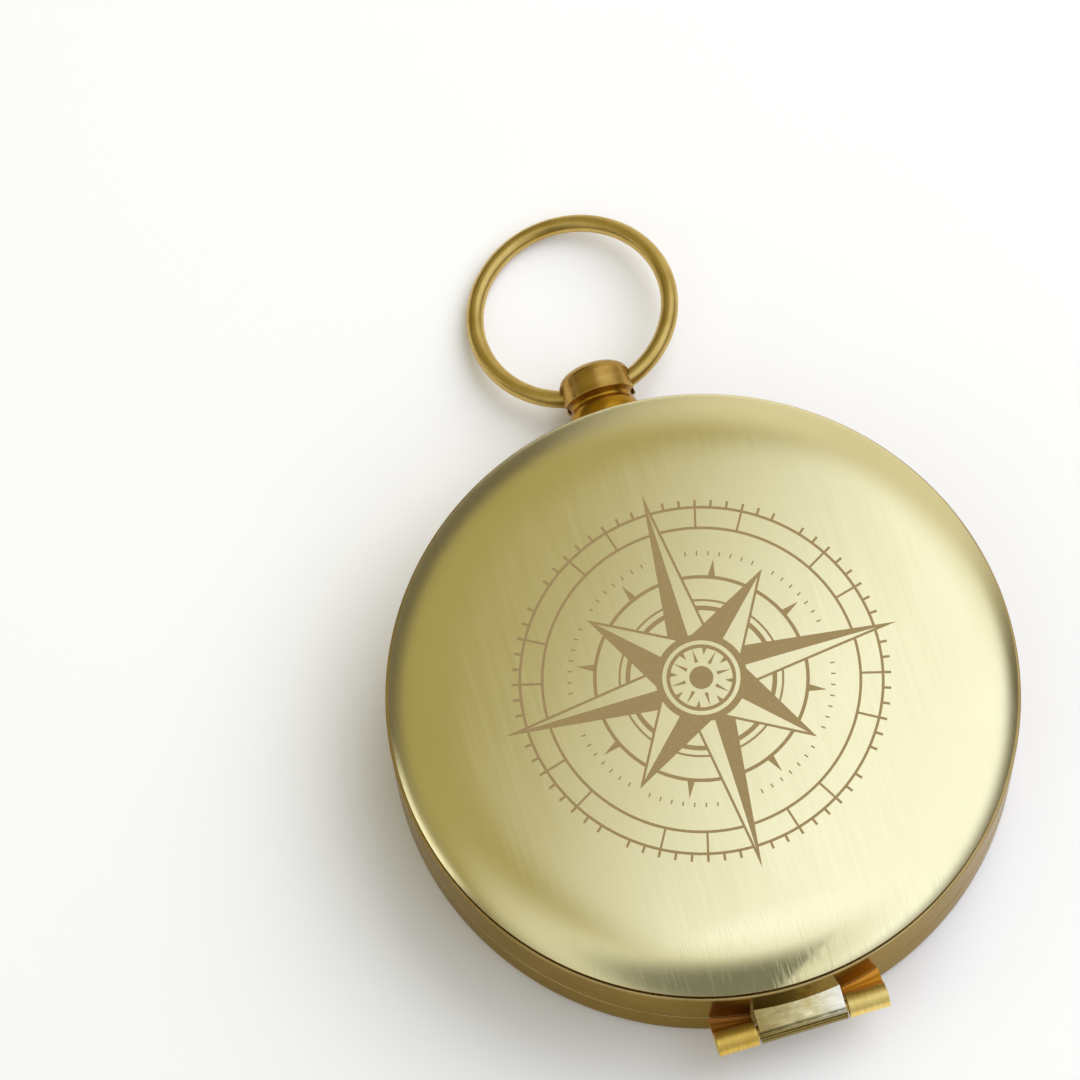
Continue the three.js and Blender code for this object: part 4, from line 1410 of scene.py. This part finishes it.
# Stage
stage = {"half": 4.0, "drop": 2e-5, "glow": 0.06}  # the glow lifts the floor where it is seen or mirrored
floorPaint = makeFinish(
    "floor", (0.945, 0.94, 0.94), 1.0,
    tint=((0.02,), (0.94, 0.935, 0.935), (0.95, 0.945, 0.945)),
)
floorTree = floorPaint.node_tree
rays = addNode(floorTree, "LightPath", {}).outputs
seen = rays["Is Camera Ray"]
for kind in ("Is Glossy Ray", "Is Transmission Ray"):
    seen = addNode(floorTree, "Math", {0: seen, 1: rays[kind]}, operation="ADD").outputs[0]
setInputs(shaderOf(floorPaint), {
    "Specular IOR Level": 0,
    "Emission Color": (1, 1, 1, 1),
    "Emission Strength": spread(floorPaint, seen, 0, stage["glow"], 0, 1),
})
floorMesh = bpy.data.meshes.new("floor")
half = stage["half"]
signs = ((-1, -1), (1, -1), (1, 1), (-1, 1))
floorCorners = [(x * half, y * half, -stage["drop"]) for x, y in signs]
floorMesh.from_pydata(floorCorners, [], [(0, 1, 2, 3)])
floorMesh.materials.append(floorPaint)
floor = addObject("floor", floorMesh)

# Camera: from the hinge's side and a little to the left, the photograph's frame taken as a square
view = {
    "azimuth": -17.1,
    "elevation": 72.78,
    "distance": 400.0,
    "focus": 5082.0,  # focal length in pixels of the frame
    "frame": 1080.0,
    "target": (0, 0, 10.5),
    "place": (702.5, 690.4),  # where the target stands in the frame, in pixels
    "sensor": 36.0,
    "clipStart": 0.01,
}
azimuth, elevation = math.radians(view["azimuth"]), math.radians(view["elevation"])
zenith = Vector((0, 0, 1))
nearer = Vector((math.sin(azimuth), -math.cos(azimuth), 0))
back = nearer * math.cos(elevation) + zenith * math.sin(elevation)
right = Vector((math.cos(azimuth), math.sin(azimuth), 0))
up = back.cross(right)
offX = (view["place"][0] - view["frame"] / 2) / view["focus"]
offY = (view["place"][1] - view["frame"] / 2) / view["focus"]
aim = (-back - right * offX + up * offY).normalized()
sideways = aim.cross(up).normalized()
upwards = sideways.cross(aim)
cameraData = bpy.data.cameras.new("camera")
cameraData.sensor_width = view["sensor"]
cameraData.lens = view["sensor"] * view["focus"] / view["frame"]
cameraData.clip_start = view["clipStart"]
camera = addObject("camera", cameraData)
turn = Matrix((sideways, upwards, -aim)).transposed().to_4x4()
camera.matrix_world = Matrix.Translation((Vector(view["target"]) + back * view["distance"]) * mm) @ turn
bpy.context.scene.camera = camera

# Light: a dim room with one great soft light above and to the right, and a lamp for the shadow
light = {
    "horizon": (0.17, 0.15, 0.11),
    "overhead": (0.43, 0.385, 0.18),
    "overheadFade": (88.0, 40.0),  # degrees from the middle of a light where it begins to rise and is full
    "bright": (1.16, 1.24, 1.45),
    "brightPlace": (48.0, 5.0),  # degrees from the zenith to the right and towards the viewer
    "brightFade": (58.0, 47.0),
    "band": (50.0, 72.0),  # degrees from the zenith where the room darkens to the horizon
    "rear": (0.8, 0.77, 0.66),
    "rearPlace": (50.0, -72.0),
    "rearFade": (45.0, 8.0),
    "front": (0.80, 0.81, 0.77),
    "frontPlace": (-8.0, 40.0),
    "frontFade": (45.0, 15.0),
    "screen": (0.22, 0.23, 0.21),  # round dark screen above the viewer, cut off straight on its right
    "screenPlace": (11.0, 45.0),
    "screenFade": (36.0, 9.0),
    "screenCut": (14.0, 10.8, 1.0),  # degrees to the cut, of its slant, and half the width of its soft edge
    "strip": (1.3, 1.3, 1.25),  # bright strip low on the left
    "stripPlace": (-64.0, 20.0),
    "stripFade": (17.0, 9.0),
    "stripEdge": (66.5, 69.0),  # degrees from where the level crown mirrors
}


# A direction in the sky, by its angles from the zenith to the right and towards the viewer
def skyward(towardsRight, towardsViewer):
    across, along = math.tan(math.radians(towardsRight)), math.tan(math.radians(towardsViewer))
    return (zenith + right * across + nearer * along).normalized()


world = bpy.data.worlds.new("room")
bpy.context.scene.world = world
world.use_nodes = True
worldTree = world.node_tree
skyPlace = addNode(worldTree, "TexCoord", {}).outputs["Generated"]


# How far a direction has come from one angle to another, both measured from an axis, eased at its ends
def skyShare(axis, fromAngle, toAngle):
    dot = addNode(worldTree, "VectorMath", {0: skyPlace, 1: axis}, operation="DOT_PRODUCT")
    values = {
        "Value": dot.outputs["Value"],
        "From Min": math.cos(math.radians(fromAngle)),
        "From Max": math.cos(math.radians(toAngle)),
    }
    return addNode(worldTree, "MapRange", values, interpolation_type="SMOOTHSTEP").outputs["Result"]


# How much a direction lies in the light that has a name, by its place and fade
def skySpot(name):
    return skyShare(skyward(*light[name + "Place"]), *light[name + "Fade"])


room = mixColours(worldTree, skyShare(zenith, *light["overheadFade"]), light["horizon"], light["overhead"])
room = mixColours(worldTree, skySpot("bright"), room, light["bright"])
room = mixColours(worldTree, skyShare(zenith, *light["band"]), room, light["horizon"])
for name in ("rear", "front"):
    room = mixColours(worldTree, skySpot(name), room, light[name])
cutAcross, cutSlant = (math.tan(math.radians(angle)) for angle in light["screenCut"][:2])
cutSoft = light["screenCut"][2]
cutFace = (zenith * cutAcross + nearer * cutSlant - right).normalized()
screen = product(worldTree, skySpot("screen"), skyShare(cutFace, 90 + cutSoft, 90 - cutSoft))
room = mixColours(worldTree, screen, room, light["screen"])
crownMirror = skyward(0, view["elevation"] - 90)
strip = product(worldTree, skyShare(crownMirror, *light["stripEdge"]), skySpot("strip"))
room = mixColours(worldTree, strip, room, light["strip"])
worldTree.links.new(room, worldTree.nodes["Background"].inputs["Color"])

softbox = {"place": (0.5, 0.25, 0.55), "size": 0.8, "energy": 3.9}  # metres and watts
lamp = bpy.data.lights.new("softboxRight", "AREA")
lamp.shape = "SQUARE"
lamp.size = softbox["size"]
lamp.energy = softbox["energy"]
box = addObject("softboxRight", lamp)
box.location = softbox["place"]
box.rotation_mode = "QUATERNION"
box.rotation_quaternion = (-Vector(softbox["place"])).to_track_quat("-Z", "Y")
box.visible_glossy = False  # metal shows the room's own soft light

scene = bpy.context.scene
scene.view_settings.view_transform = "Standard"
print("scene ready")
